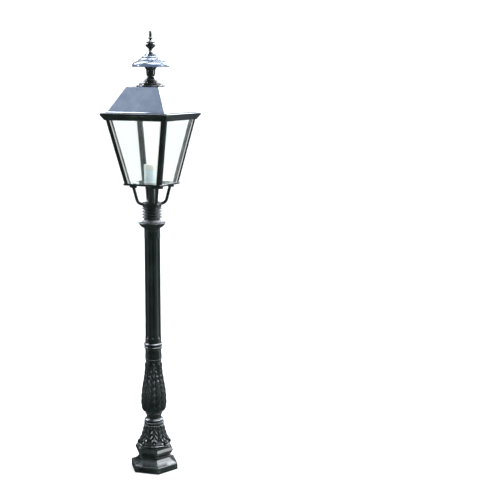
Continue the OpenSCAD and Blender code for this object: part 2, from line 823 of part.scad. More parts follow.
// Nuts that clamp the tray on the conduit, one below and one above
module conduit_nuts() {
    color(steel) {
        translate([0, 0, tray_z - conduit_nut_h]) hex(conduit_nut_w, conduit_nut_h, conduit_d + 2 * running_gap);
        translate([0, 0, reflector_top_z]) hex(conduit_nut_w, conduit_nut_h, conduit_d + 2 * running_gap);
    }
}

// Screws from inside the tray into the arms' pads
module arm_screws() {
    color(steel) for (k = [0:3]) rotate(45 + 90 * k) translate([arm_top_r, 0, reflector_top_z])
        screw(arm_screw_d - 2 * running_gap, arm_pad_t - 3 + tray_floor_t + reflector_t, arm_screw_d * 1.6, 4);
}

// Square tray with a raised rim
module tray() {
    half = tray_w / 2;
    color(enamel) difference() {
        faced([[half - 1.5, tray_z], [half, tray_z + 1.5], [half, body_z - 1], [half - 1, body_z]], 2);
        translate([-half + tray_rim_w, -half + tray_rim_w, tray_floor_z])
            cube([tray_w - 2 * tray_rim_w, tray_w - 2 * tray_rim_w, tray_h]);
        bore(conduit_d + 2 * running_gap, tray_z, tray_floor_t);
        for (k = [0:3]) rotate(45 + 90 * k) translate([arm_top_r, 0, 0])
            bore(arm_screw_d + 0.6, tray_z, tray_floor_t);
        for (k = [0:3]) rotate(90 * k) stile_screw_place(0) translate([0, 0, tray_z - cut])
            cylinder(d = stile_screw_d + 0.4, h = tray_h + 2 * cut, $fn = 32);
        for (k = [0:3]) rotate(90 * k) stile_screw_place(0) translate([0, 0, tray_z - cut])
            cylinder(d = stile_head_d + 0.3, h = tray_h - stile_head_depth + cut, $fn = 32);
    }
}

// White plate on the tray's floor
module reflector_plate() {
    w = tray_w - 2 * tray_rim_w - 1;
    color(white) difference() {
        translate([-w / 2, -w / 2, tray_floor_z]) cube([w, w, reflector_t]);
        bore(conduit_d + 2 * running_gap, tray_floor_z, reflector_t);
        for (k = [0:3]) rotate(45 + 90 * k) translate([arm_top_r, 0, 0])
            bore(arm_screw_d + 0.6, tray_floor_z, reflector_t);
        translate([earth_place[0], earth_place[1], 0]) bore(earth_screw_d + 0.4, tray_floor_z, reflector_t);
    }
}

// Half width of the glazed body at a height above its foot
function body_half(h) = (body_foot_w + (body_top_w - body_foot_w) * h / body_h) / 2;

// Solid of the glazed body's outline, moved inwards, and its face openings
module body_solid(by) {
    faced([[body_half(-cut) - by, body_z - cut], [body_half(body_h + cut) - by, cornice_z + cut]], 2);
}

// Trapezium prism along Y that leaves a margin at both sides, the foot and the top
module face_prism(side, foot, top, depth_from, depth_to) {
    rotate([90, 0, 0]) translate([0, 0, depth_from]) linear_extrude(height = depth_to - depth_from)
        polygon([
            [-body_half(foot) + side, body_z + foot], [body_half(foot) - side, body_z + foot],
            [body_half(body_h - top) - side, cornice_z - top], [-body_half(body_h - top) + side, cornice_z - top]
        ]);
}

// Sloping sheet in the front face between two depths behind its outside
module face_sheet(side, foot, top, near, far) {
    intersection() {
        face_prism(side, foot, top, 0, body_top_w);
        rotate([90, 0, 90]) linear_extrude(height = body_top_w, center = true)
            polygon([
                [-body_half(0) + near, body_z], [-body_half(0) + far, body_z],
                [-body_half(body_h) + far, cornice_z], [-body_half(body_h) + near, cornice_z]
            ]);
    }
}

// Centre of a stile's core at a height above the body's foot, front right corner
module stile_screw_place(h) {
    at = body_half(h) - stile_core / 2;
    translate([at, -at, 0]) children();
}

// Region of the front right corner within w of the body's corner line
module corner_region(w) {
    low = body_half(-2 * cut);
    high = body_half(body_h + 2 * cut);
    z0 = body_z - 2 * cut;
    z1 = cornice_z + 2 * cut;
    intersection() {
        rotate([90, 0, 0]) linear_extrude(height = 2 * body_top_w, center = true)
            polygon([[low - w, z0], [2 * high, z0], [2 * high, z1], [high - w, z1]]);
        rotate([90, 0, 90]) linear_extrude(height = 2 * body_top_w, center = true)
            polygon([[-low + w, z0], [-2 * high, z0], [-2 * high, z1], [-high + w, z1]]);
    }
}

// Space inside the chamfer plane that runs along the body's front right corner line
module chamfer_region(c) {
    low = body_half(-2 * cut);
    high = body_half(body_h + 2 * cut);
    rotate(-45) rotate([90, 0, 0]) linear_extrude(height = 2 * body_top_w, center = true)
        polygon([[0, body_z - 2 * cut], [(2 * low - c) / sqrt(2), body_z - 2 * cut],
            [(2 * high - c) / sqrt(2), cornice_z + 2 * cut], [0, cornice_z + 2 * cut]]);
}

// Corner stile: a solid core with a flange along each face and a chamfered corner
module stile_shape() {
    color(enamel) difference() {
        intersection() {
            chamfer_region(stile_chamfer);
            union() {
                intersection() {
                    difference() {
                        body_solid(0);
                        body_solid(stile_t);
                    }
                    corner_region(stile_w);
                }
                intersection() {
                    body_solid(0);
                    corner_region(stile_core);
                }
            }
            translate([0, -body_top_w, body_z]) cube([body_top_w, body_top_w, body_h]);
        }
        stile_screw_place(0) translate([0, 0, body_z - cut]) cylinder(d = stile_screw_d, h = stile_screw_l, $fn = 24);
        stile_screw_place(body_h) translate([0, 0, cornice_z - stile_screw_l + cut])
            cylinder(d = stile_screw_d, h = stile_screw_l, $fn = 24);
    }
}

module stile(k) {
    rotate(-90 + 90 * k) stile_shape();
}

// Screws up through the tray's rim into the stiles
module tray_screws() {
    color(steel) for (k = [0:3]) rotate(90 * k) stile_screw_place(0)
        translate([0, 0, body_z - stile_head_depth]) rotate([180, 0, 0])
            screw(stile_screw_d - 2 * running_gap, stile_screw_l - 3, stile_head_d, stile_head_h);
}

// Square cornice, a hollow moulding open to the inside
module cornice() {
    half = cornice_w / 2;
    foot = cornice_foot_w / 2;
    opening = cornice_opening_w / 2;
    w = cornice_wall;
    edge_z = ledge_z - cornice_edge_h;
    color(enamel) difference() {
        faced([[foot, cornice_z], [foot + 2, cornice_z + 2], [half - 2, edge_z - 1], [half, edge_z],
            [half, ledge_z - 1.5], [half - 1.5, ledge_z]], 2);
        faced([[opening, cornice_z - cut], [opening, ledge_z + cut]], 2);
        faced([[foot - w, cornice_z + w], [foot - w + 2, cornice_z + w + 1], [half - w - 1, edge_z + 1],
            [half - w - 1, ledge_z - w]], 2);
        for (k = [0:3]) rotate(90 * k) stile_screw_place(body_h) bore(stile_screw_d + 0.4, cornice_z, cornice_wall);
        for (x = [-hinge_x, hinge_x], s = [-1, 1]) translate([x + s * hinge_l / 3, hinge_y - 6, 0])
            bore(hinge_rivet_d, ledge_z - w, w);
    }
}

// Screws down through the cornice's foot into the stiles
module cornice_screws() {
    color(steel) for (k = [0:3]) rotate(90 * k) stile_screw_place(body_h)
        translate([0, 0, cornice_z + cornice_wall])
            screw(stile_screw_d - 2 * running_gap, stile_screw_l - 4, stile_head_d, stile_head_h);
}

// Glass pane behind the stiles' flanges
module pane(k) {
    color(clear) rotate(90 * k) face_sheet(pane_side, 0, 0, pane_front, pane_rear);
}

// Two upright strips along a face's edges, between two depths and two distances from its corners
module edge_strips(side, reach, near, far) {
    difference() {
        face_sheet(side, 0, 0, near, far);
        face_prism(reach, -cut, -cut, 0, body_top_w);
    }
}

// Seals between the stiles' flanges and the glass
module pane_seals() {
    color(putty) for (k = [0:3])
        rotate(90 * k) edge_strips(pane_side, stile_w + seal_show, stile_t, pane_front);
}

// Angle strips that hold the panes from inside
module glazing_strips() {
    reach = stile_w + seal_show;
    color(enamel) for (k = [0:3]) rotate(90 * k) {
        edge_strips(reach - strip_w, reach, pane_rear, pane_rear + strip_t);
        edge_strips(reach - strip_t, reach, pane_rear, pane_rear + strip_depth);
    }
}

// Seal on the cornice under the roof's rim
module roof_gasket() {
    outer = roof_w / 2;
    inner = outer - gasket_w;
    color(black_rubber) difference() {
        translate([-outer, -outer, ledge_z]) cube([2 * outer, 2 * outer, gasket_t]);
        translate([-inner, -inner, ledge_z - cut]) cube([2 * inner, 2 * inner, gasket_t + 2 * cut]);
    }
}

// Square upright rim that the roof's panels stand on
module roof_rim() {
    outer = roof_w / 2;
    inner = outer - roof_slope_t;
    color(sheet) difference() {
        translate([-outer, -outer, roof_z]) cube([2 * outer, 2 * outer, roof_rim_h]);
        translate([-inner, -inner, roof_z - cut]) cube([2 * inner, 2 * inner, roof_rim_h + 2 * cut]);
    }
}

// Four sloping panels, soldered to each other along the hips, to the rim and to the top
module roof_panels() {
    low = roof_z + roof_rim_h;
    high = roof_top_z - roof_t;
    color(sheet) for (k = [0:3]) rotate(90 * k) intersection() {
        difference() {
            faced([[roof_half(low), low], [roof_half(high), high]], 2);
            faced([[roof_half(low - cut) - roof_slope_t, low - cut],
                [roof_half(high + cut) - roof_slope_t, high + cut]], 2);
        }
        translate([0, 0, low]) linear_extrude(height = high - low)
            polygon([[0, -solder_gap / 2], [roof_w, -roof_w - solder_gap / 2],
                [-roof_w, -roof_w - solder_gap / 2]]);
    }
}

// Flat top of the roof
module roof_top() {
    z = roof_top_z - roof_t;
    color(sheet) difference() {
        faced([[roof_half(z), z], [roof_top_w / 2, roof_top_z]], 2);
        bore(rod_d + 0.6, z, roof_t);
    }
}

// Hinge knuckle along X, centred at x
module knuckle(x, l) {
    translate([x - l / 2, hinge_y, hinge_z]) rotate([0, 90, 0]) cylinder(r = hinge_r, h = l, $fn = 32);
}

module pin_hole() {
    translate([-cornice_w, hinge_y, hinge_z]) rotate([0, 90, 0])
        cylinder(d = hinge_pin_d + 2 * running_gap, h = 2 * cornice_w, $fn = 32);
}

// Leaves riveted to the cornice's ledge, with the two outer knuckles each
module hinge_leaves_fixed() {
    l = knuckle_l - moving_gap;
    color(enamel) difference() {
        for (x = [-hinge_x, hinge_x], s = [-1, 1]) union() {
            knuckle(x + s * knuckle_l, l);
            translate([x + s * knuckle_l - l / 2, hinge_y - 3, ledge_z]) cube([l, 6, hinge_z - ledge_z]);
            translate([x + s * knuckle_l - l / 2, hinge_y - 9, ledge_z]) cube([l, 12, leaf_t]);
        }
        pin_hole();
        for (x = [-hinge_x, hinge_x], s = [-1, 1]) translate([x + s * knuckle_l, hinge_y - 6, 0])
            bore(hinge_rivet_d, ledge_z, leaf_t);
    }
}

// Pins held in the fixed knuckles
module hinge_pins() {
    color(steel) for (x = [-hinge_x, hinge_x]) translate([x - hinge_l / 2, hinge_y, hinge_z])
        rotate([0, 90, 0]) cylinder(d = hinge_pin_d, h = hinge_l, $fn = 32);
}

// Leaves on the back of the roof's rim, with the middle knuckle each
module hinge_leaves_roof() {
    l = knuckle_l - moving_gap;
    face = roof_w / 2;
    color(enamel) difference() {
        for (x = [-hinge_x, hinge_x]) union() {
            knuckle(x, l);
            translate([x - l / 2, face, hinge_z - 1]) cube([l, hinge_y - face, hinge_r]);
            translate([x - hinge_l / 2 + 1, face, roof_z + 0.5])
                cube([hinge_l - 2, leaf_t, roof_rim_h - 1]);
            translate([x - l / 2, face, roof_z + 0.5]) cube([l, leaf_t, hinge_z + hinge_r - roof_z - 1.6]);
        }
        pin_hole();
    }
}

// Stepped round base of the finial on the roof's flat top
module finial_base() {
    r = flange_d / 2;
    z = roof_top_z;
    top = vase_z;
    outline = concat(
        [[r - 1, z], [r, z + 1], [r, z + 4], [r - 2, z + 6], [r - 10, z + 7.5], [r - 12, z + 9]],
        [[r - 12, z + 14], [r - 14, z + 16], [23, z + 17.5], [22.5, top - 4.5]],
        [[30.5, top - 3.5], [30.5, top - 0.8], [28, top]]
    );
    color(enamel) difference() {
        turned(outline, z, top);
        bore(rod_d + 0.6, z, finial_base_h);
    }
}

// Vase-shaped neck that carries the hood
module vase_neck() {
    z = vase_z;
    top = hood_z;
    outline = concat(
        [[26.5, z], [26.5, z + 2]],
        curve([22.5, z + 4], [22, z + 12], [13.5, z + 14], [14.3, z + 19.5], 6),
        curve([16, z + 21], [18.5, z + 26], [18.3, z + 34], [18.6, top - 14], 6),
        curve([18.8, top - 12], [19.8, top - 8], [22, top - 5], [25.5, top], 4)
    );
    color(enamel) difference() {
        turned(outline, z, top);
        bore(rod_d + 0.6, z, vase_h);
    }
}

// Bell-shaped hood with two steps, hollow underneath
module hood() {
    r = hood_d / 2;
    step = hood_step_d / 2;
    upper_step = (step + spire_foot_d / 2) / 2;
    boss = 26;
    z = hood_z;
    top = hood_z + hood_h;
    low_z = top - 20.6;
    high_z = top - 9.6;
    outside = concat([[r - 1, z + 1.5], [r, z + 2.5], [r, z + 8]],
        curve([r - 0.5, z + 10], [r - 4, z + 17], [r - 13, z + 20.5], [step, low_z], 8),
        [[step - 0.5, low_z + 3.6], [step - 3, low_z + 4.1], [upper_step + 1.5, high_z - 0.6], [upper_step, high_z]],
        [[upper_step - 0.5, high_z + 4.5], [upper_step - 2.5, high_z + 5], [spire_foot_d / 2 + 3, top]]);
    color(sheet) difference() {
        turned(outside, z, top);
        rotate_extrude($fn = turn_fn)
            polygon([[boss, z - cut], [r + cut, z - cut], [r + cut, z + 1.5], [r - 2.5, z + 1.5],
                [r - 3, z + 8], [r - 8, z + 14], [r - 15, z + 18], [step, low_z - 3.5],
                [step - 3.5, low_z], [step - 5, low_z + 1.5], [upper_step, high_z - 3.5],
                [upper_step - 3, high_z], [boss, high_z + 3]]);
        bore(rod_d + 0.6, z, hood_h);
    }
}

// Threaded rod through roof and finial
module finial_rod() {
    low = roof_top_z - roof_t - 16;
    color(steel) translate([0, 0, low]) cylinder(d = rod_d, h = spire_z + rod_in_spire - low, $fn = 32);
}

// Nut and washer under the roof's top
module rod_nut() {
    under = roof_top_z - roof_t;
    color(steel) {
        translate([0, 0, under - 2]) difference() {
            cylinder(d = rod_d * 3, h = 2, $fn = 48);
            translate([0, 0, -cut]) cylinder(d = rod_d + 2 * running_gap, h = 2 + 2 * cut, $fn = 48);
        }
        translate([0, 0, under - 2 - rod_d * 0.8]) hex(rod_d * 1.6, rod_d * 0.8, rod_d + 2 * running_gap);
    }
}

// Turned spire that screws on the rod: flared foot, urn, bead and spindle
module spire() {
    z = spire_z;
    urn = z + spire_urn_z;
    tip = z + spire_h;
    spindle = tip - spindle_l;
    r_foot = spire_foot_d / 2;
    r_urn = spire_urn_d / 2;
    outline = concat(
        [[r_foot - 1, z], [r_foot, z + 1], [r_foot, z + 4], [r_foot - 1, z + 5]],
        curve([r_foot - 3, z + 6], [r_foot - 7, z + 9], [9, z + 14], [7, urn], 8),
        curve([7, urn + 2], [9, urn + 8], [r_urn - 3.5, urn + 11], [r_urn, urn + 18.5], 6),
        [[r_urn, urn + 20.5], [14, urn + 24], [12.5, urn + 27.5]],
        roll(r_urn - 2, urn + 31, 4),
        curve([12, urn + 33.5], [11, urn + 38], [6, urn + 39], [4.2, urn + 42], 5),
        roll(9.5, urn + 48, 6),
        [[4.4, spindle]],
        curve([4.6, spindle + 3], [6, spindle + 8], [6, spindle + 14], [5, tip - 4], 5),
        arc([0.9, tip - 4], 4, 0, 80, 3)
    );
    color(enamel) difference() {
        turned(outline, z, tip);
        translate([0, 0, z - cut])
            cylinder(d = rod_d + 2 * running_gap, h = rod_in_spire + 2 + cut, $fn = 48);
    }
}

// Ring that locates the opal cylinder on the reflector plate
module gallery_ring() {
    inner = conduit_nut_w / cos(30) + 1;
    outer = opal_d + 2 * moving_gap + 3;
    color(white) difference() {
        translate([0, 0, reflector_top_z]) cylinder(d = outer, h = gallery_rim_h, $fn = turn_fn);
        translate([0, 0, reflector_top_z + gallery_t])
            cylinder(d = opal_d + 2 * moving_gap, h = gallery_rim_h, $fn = turn_fn);
        bore(inner, reflector_top_z, gallery_t);
    }
}

// Foot of the lampholder, screwed on the conduit's end
module holder_base() {
    color(white) difference() {
        union() {
            translate([0, 0, conduit_top_z]) cylinder(d = holder_d + 6, h = holder_base_h, $fn = 48);
            translate([0, 0, conduit_top_z - 6])
                cylinder(d = conduit_d - 2 * conduit_wall - 2 * running_gap, h = 6 + cut, $fn = 48);
        }
        bore(10, conduit_top_z - 6, holder_base_h + 6);
    }
}

// Lampholder
module lampholder() {
    color(white) difference() {
        translate([0, 0, holder_z]) cylinder(d = holder_d, h = holder_h, $fn = 48);
        translate([0, 0, holder_z + 3])
            cylinder(d = lamp_thread_d + 2 * moving_gap, h = holder_h, $fn = 48);
    }
}

// Lamp's screw cap
module lamp_cap() {
    color(brass) {
        translate([0, 0, holder_z + 6]) cylinder(d = lamp_thread_d, h = holder_h - 5, $fn = 48);
        translate([0, 0, holder_z + 3 + moving_gap]) cylinder(d = 6, h = 4, $fn = 32);
    }
}

// Lamp's bulb
module lamp_bulb() {
    z = lamp_z;
    r = bulb_d / 2;
    outline = concat([[7, z]], curve([8, z + 1], [10, z + 3], [r, z + 5], [r, z + 11], 5),
        arc([0, bulb_top_z - r], r, 0, 90, 8));
    color(opal) turned(outline, z, bulb_top_z);
}

// Opal glass cylinder round the lamp
module opal_cylinder() {
    color(opal) difference() {
        translate([0, 0, opal_z]) cylinder(d = opal_d, h = opal_h, $fn = turn_fn);
        bore(opal_d - 2 * opal_wall, opal_z, opal_h);
    }
}

// White cap that closes the cylinder
module opal_cap() {
    top = opal_z + opal_h + 1.5;
    skirt = opal_d + 1.6;
    color(white) difference() {
        translate([0, 0, top - opal_cap_h]) cylinder(d = skirt, h = opal_cap_h, $fn = turn_fn);
        translate([0, 0, top - opal_cap_h - cut])
            cylinder(d = opal_d + 2 * running_gap, h = opal_cap_h - 1.5 + cut, $fn = turn_fn);
    }
}

// Earthing screw on the tray's floor
module earth_screw() {
    color(brass) translate([earth_place[0], earth_place[1], reflector_top_z])
        screw(earth_screw_d, reflector_t, earth_screw_d * 2, 3);
}

anchor_plate();
pipe_socket();
core_pipe();
plinth();
leaf_bell();
waist_ring();
baluster();
bead_ring();
plain_collar();
double_ring();
fluted_shaft();
capital();
lock_nut();
neck_socket();
socket_screws();
arm_hub();
arm(0);  // arm_front_left
arm(1);  // arm_front_right
arm(2);  // arm_back_right
arm(3);  // arm_back_left
conduit();
conduit_nuts();
arm_screws();
tray();
reflector_plate();
stile(0);  // stile_front_left
stile(1);  // stile_front_right
stile(2);  // stile_back_right
stile(3);  // stile_back_left
tray_screws();
cornice();
cornice_screws();
pane(0);  // pane_front
pane(1);  // pane_right
pane(2);  // pane_back
pane(3);  // pane_left
pane_seals();
glazing_strips();
roof_gasket();
hinge_leaves_fixed();
hinge_pins();
gallery_ring();
holder_base();
lampholder();
earth_screw();
roof_rim();
roof_panels();
roof_top();
hinge_leaves_roof();
finial_base();
vase_neck();
hood();
finial_rod();
rod_nut();
spire();
opal_cylinder();
opal_cap();
lamp_bulb();
lamp_cap();
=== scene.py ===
"""Garden lantern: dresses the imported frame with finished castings, sheet metal, glass and lamp."""
import json
import math

import bmesh
import bpy
import numpy as np
from mathutils import Matrix, Vector

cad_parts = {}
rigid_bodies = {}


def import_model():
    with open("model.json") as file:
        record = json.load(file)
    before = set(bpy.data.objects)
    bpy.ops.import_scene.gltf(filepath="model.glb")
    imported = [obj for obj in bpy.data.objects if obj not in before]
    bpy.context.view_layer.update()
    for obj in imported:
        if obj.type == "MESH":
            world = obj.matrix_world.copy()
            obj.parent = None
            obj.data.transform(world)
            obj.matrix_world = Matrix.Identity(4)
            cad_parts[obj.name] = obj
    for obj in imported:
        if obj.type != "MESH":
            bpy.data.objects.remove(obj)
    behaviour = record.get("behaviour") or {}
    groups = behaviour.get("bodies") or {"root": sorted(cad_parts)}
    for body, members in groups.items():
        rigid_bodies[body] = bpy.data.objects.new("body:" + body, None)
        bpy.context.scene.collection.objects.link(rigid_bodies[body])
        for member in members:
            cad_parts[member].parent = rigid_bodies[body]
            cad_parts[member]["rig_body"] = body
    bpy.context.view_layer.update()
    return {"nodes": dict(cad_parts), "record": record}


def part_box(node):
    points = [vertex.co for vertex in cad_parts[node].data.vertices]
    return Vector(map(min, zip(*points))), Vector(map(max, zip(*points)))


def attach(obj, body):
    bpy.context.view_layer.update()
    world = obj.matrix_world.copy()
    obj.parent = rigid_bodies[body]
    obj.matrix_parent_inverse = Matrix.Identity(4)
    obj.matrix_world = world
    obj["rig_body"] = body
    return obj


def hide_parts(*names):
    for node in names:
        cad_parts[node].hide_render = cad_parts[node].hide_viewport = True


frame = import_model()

bl_info = {
    "name": "Garden Lantern",
    "version": (1, 0, 0),
    "blender": (4, 5, 0),
    "location": "View3D > Sidebar > Lantern",
    "description": "Builds a glazed garden lantern on a fluted post round its packed frame",
    "category": "Object",
}

MM = 0.001
CORNERS = ("front_left", "front_right", "back_right", "back_left")
LEAF_TURN = 28.4  # degrees from +X to the middle of a leaf and of a flute
BORE = 21.5  # radius of the castings' bore round the core pipe, in mm
NUT_BORE = 25.0  # radius of the capital's bore round the lock nut, in mm
NECK_BORE = 21.25  # radius of the neck's bore, which turns on the core pipe, in mm
ROD_BORE = 4.3  # radius of the holes for the finial's rod, in mm
MADE = {}  # materials by name

# Lights: name, height aimed at, direction and distance from there, width and depth in m, watts, colour
LIGHTS = (
    ("softbox_right", 1.57, (0.237, 0.877, 0.417), 4.2, 2.6, 2.6, 150, "#ffffff"),
    ("softbox_side", 0.3, (0.90, 0.27, 0.34), 3.8, 1.4, 1.8, 42, "#ffffff"),
    ("softbox_high", 0.3, (0.58, 0.40, 0.71), 4.0, 1.5, 1.5, 30, "#ffffff"),
    ("lamp_right", 0.3, (0.80, 0.22, 0.56), 4.0, 0.7, 0.7, 25, "#ffffff"),
    ("lamp_left", 0.3, (-0.74, -0.54, 0.41), 4.0, 0.7, 0.7, 45, "#f4f8ff"),
)

# Sky in reflections: side it is brighter on, then bright patches, each with its direction, the cosines
# of its outer and inner edge, and its brightness
SKY_SIDE = (0.80, 0.55, 0.25)
SKY_PATCHES = (
    ((0.25, 0.05, 0.967), 0.88, 0.94, 26.0), ((-0.478, -0.427, 0.762), 0.968, 0.99, 2.2),
    ((0.12, 0.93, 0.35), 0.92, 0.97, 6.0), ((-0.48, 0.41, 0.775), 0.982, 0.99, 11.0),
    ((-0.755, 0.154, 0.638), 0.90, 0.95, 12.0), ((0.75, 0.61, -0.25), 0.94, 0.985, 1.1),
    ((-0.90, -0.40, -0.15), 0.85, 0.95, 0.4),
)

# Camera: sensor and lens in mm, place in m and angles in degrees, all before the turn about Z
SENSOR_MM, LENS_MM = 36.0, 79.15
CAMERA_PLACE = (0, -4.561, 1.6925)
CAMERA_PAN, CAMERA_PITCH, CAMERA_TILT = 5.14, 9.28, 0.28
CAMERA_TURN = 28.66


# ---- Numbers and colours ----

def linear(code):
    """Linear colour of an sRGB hex code."""
    parts = [int(code[i:i + 2], 16) / 255 for i in (1, 3, 5)]
    return tuple(c / 12.92 if c <= 0.04045 else ((c + 0.055) / 1.055) ** 2.4 for c in parts)


def low(node):
    """Height of a node's lowest point in mm."""
    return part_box(node)[0].z / MM


def high(node):
    """Height of a node's highest point in mm."""
    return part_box(node)[1].z / MM


def reach(node):
    """Largest distance of a node from the axis along X, in mm."""
    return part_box(node)[1].x / MM


def step(x):
    """Smooth step from 0 to 1 over the range 0 to 1."""
    x = np.clip(x, 0, 1)
    return x * x * (3 - 2 * x)


# ---- Sizes and colours that a user would change ----

class LanternSizes(bpy.types.PropertyGroup):
    """Sizes of the finish work."""
    edge: bpy.props.FloatProperty(
        name="Edge rounding", description="Rounding of the castings' outer edges",
        default=1.2 * MM, min=0.0002, max=0.003, subtype="DISTANCE", unit="LENGTH")
    sheet_edge: bpy.props.FloatProperty(
        name="Sheet edge rounding", description="Rounding of the folded sheet's edges",
        default=0.9 * MM, min=0.0002, max=0.002, subtype="DISTANCE", unit="LENGTH")
    leaf_depth: bpy.props.FloatProperty(
        name="Leaf relief", description="Depth of the carving of the leaves",
        default=5.4 * MM, min=0.001, max=0.007, subtype="DISTANCE", unit="LENGTH")
    columns: bpy.props.IntProperty(
        name="Columns", description="Columns of faces round a turned piece",
        default=128, min=48, max=256)


class LanternColours(bpy.types.PropertyGroup):
    """Colours of the finishes."""
    enamel: bpy.props.FloatVectorProperty(
        name="Enamel", description="Dark green-black gloss enamel of post and frame",
        default=linear("#0c1210"), size=3, min=0, max=1, subtype="COLOR")
    enamel_pale: bpy.props.FloatVectorProperty(
        name="Aged enamel", description="Enamel where the weather has dulled it",
        default=linear("#161e1b"), size=3, min=0, max=1, subtype="COLOR")
    enamel_worn: bpy.props.FloatVectorProperty(
        name="Worn enamel", description="Thin enamel on rubbed edges",
        default=linear("#2c3531"), size=3, min=0, max=1, subtype="COLOR")
    # The roof's blue-grey is a painted sky reflection: the sheet is taken as dark gloss paint, and this
    # tint stands in for the sky mirrored in it. The hood shares it.
    roof: bpy.props.FloatVectorProperty(
        name="Roof", description="Blue-grey gloss enamel of the roof",
        default=linear("#4c5c75"), size=3, min=0, max=1, subtype="COLOR")
    dust: bpy.props.FloatVectorProperty(
        name="Dust", description="Dust in hollows and on flat tops",
        default=linear("#6d6e66"), size=3, min=0, max=1, subtype="COLOR")
    floor: bpy.props.FloatVectorProperty(
        name="Floor", description="Pale studio floor",
        default=linear("#fdfdfd"), size=3, min=0, max=1, subtype="COLOR")


# ---- Materials ----

def add(tree, kind, inputs=None, **settings):
    """Add a node, set its settings, and give its inputs a value or a link each."""
    node = tree.nodes.new(kind)
    for key, value in settings.items():
        setattr(node, key, value)
    for key, value in (inputs or {}).items():
        if isinstance(value, bpy.types.NodeSocket):
            tree.links.new(value, node.inputs[key])
        else:
            node.inputs[key].default_value = value
    return node


def surface(name, values):
    """New material with its shader's own values set; returns material, node tree and shader."""
    made = bpy.data.materials.new(name)
    made.use_nodes = True
    shader = made.node_tree.nodes["Principled BSDF"]
    for key, value in values.items():
        shader.inputs[key].default_value = value
    return made, made.node_tree, shader


def per(mm):
    """Texture scale at which one repeat of the pattern is so many millimetres."""
    return 1 / (mm * MM)


def rgba(colour):
    """Colour with full alpha."""
    return (*colour, 1.0)


def enamel(name, body, pale, worn, dust, grain_mm, grain_depth_mm, gloss):
    """Air-dried gloss enamel: a thick smooth film, dull in patches, thin on edges, dusty in hollows."""
    made, tree, shader = surface(name, {
        "IOR": 1.5, "Coat Weight": 0.5, "Coat Roughness": 0.07, "Coat IOR": 1.5})
    place = add(tree, "ShaderNodeTexCoord").outputs["Object"]
    shape = add(tree, "ShaderNodeNewGeometry")
    patches = add(tree, "ShaderNodeTexNoise", {"Vector": place, "Scale": per(70), "Detail": 5.0,
                                               "Roughness": 0.6})
    fine = add(tree, "ShaderNodeTexNoise", {"Vector": place, "Scale": per(6), "Detail": 4.0})
    dull = add(tree, "ShaderNodeMapRange", {
        "Value": patches.outputs[0], "From Min": 0.42, "From Max": 0.66})
    aged = add(tree, "ShaderNodeMix", {0: dull.outputs[0], 6: rgba(body), 7: rgba(pale)},
               data_type="RGBA")
    rubbed = add(tree, "ShaderNodeMapRange", {
        "Value": shape.outputs["Pointiness"], "From Min": 0.535, "From Max": 0.62})
    rubbed = add(tree, "ShaderNodeMath", {0: rubbed.outputs[0], 1: fine.outputs[0]},
                 operation="MULTIPLY")
    edged = add(tree, "ShaderNodeMix", {0: rubbed.outputs[0], 6: aged.outputs[2], 7: rgba(worn)},
                data_type="RGBA")
    hollow = add(tree, "ShaderNodeMapRange", {
        "Value": shape.outputs["Pointiness"], "From Min": 0.47, "From Max": 0.36, "To Max": 0.16})
    facing = add(tree, "ShaderNodeSeparateXYZ", {0: shape.outputs["Normal"]})
    top = add(tree, "ShaderNodeMapRange", {
        "Value": facing.outputs[2], "From Min": 0.8, "From Max": 1.0, "To Max": 0.22})
    settled = add(tree, "ShaderNodeMath", {0: hollow.outputs[0], 1: top.outputs[0]},
                  operation="MAXIMUM")
    settled = add(tree, "ShaderNodeMath", {0: settled.outputs[0], 1: patches.outputs[0]},
                  operation="MULTIPLY")
    dusty = add(tree, "ShaderNodeMix", {0: settled.outputs[0], 6: edged.outputs[2], 7: rgba(dust)},
                data_type="RGBA")
    tree.links.new(dusty.outputs[2], shader.inputs["Base Color"])
    rough = add(tree, "ShaderNodeMapRange", {
        "Value": patches.outputs[0], "From Min": 0.3, "From Max": 0.75,
        "To Min": gloss, "To Max": gloss + 0.14})
    rough = add(tree, "ShaderNodeMath", {0: settled.outputs[0], 1: 0.8, 2: rough.outputs[0]},
                operation="MULTIPLY_ADD")
    tree.links.new(rough.outputs[0], shader.inputs["Roughness"])
    grain = add(tree, "ShaderNodeTexNoise", {"Vector": place, "Scale": per(grain_mm), "Detail": 3.0})
    peel = add(tree, "ShaderNodeTexNoise", {"Vector": place, "Scale": per(9), "Detail": 1.0})
    coarse = add(tree, "ShaderNodeBump", {"Height": peel.outputs[0], "Distance": 0.12 * MM,
                                          "Strength": 0.5})
    bumped = add(tree, "ShaderNodeBump", {"Height": grain.outputs[0], "Distance": grain_depth_mm * MM,
                                          "Strength": 0.6, "Normal": coarse.outputs[0]})
    tree.links.new(bumped.outputs[0], shader.inputs["Normal"])
    return made


def enamelled_casting():
    """Sand-cast iron under gloss enamel: the sand's grain of about 2 mm still shows as a soft ripple."""
    c = bpy.context.scene.lantern_colours
    return enamel("cast_iron_gloss_enamel", c.enamel, c.enamel_pale, c.enamel_worn, c.dust,
                  grain_mm=2.2, grain_depth_mm=0.06, gloss=0.09)


def enamelled_steel():
    """Rolled steel under gloss enamel: flatter and shinier than castings, with slight orange peel."""
    c = bpy.context.scene.lantern_colours
    return enamel("rolled_steel_gloss_enamel", c.enamel, c.enamel_pale, c.enamel_worn, c.dust,
                  grain_mm=1.2, grain_depth_mm=0.03, gloss=0.08)


def enamelled_sheet():
    """Folded sheet steel under gloss enamel whose blue-grey is a painted sky reflection on dark paint:
    broad shallow waves and faint rain marks.
    """
    c = bpy.context.scene.lantern_colours
    # pale (rain-dulled patches) and worn (rubbed edges) are mixes of the same painted sky-reflection
    # blue-grey
    pale = [0.88 * a + 0.12 * b for a, b in zip(c.roof, linear("#c3cddd"))]
    worn = [0.5 * a + 0.5 * b for a, b in zip(c.roof, linear("#d5dae2"))]
    return enamel("sheet_enamel_painted_sky_reflection", c.roof, pale, worn, c.dust,
                  grain_mm=1.0, grain_depth_mm=0.02, gloss=0.14)


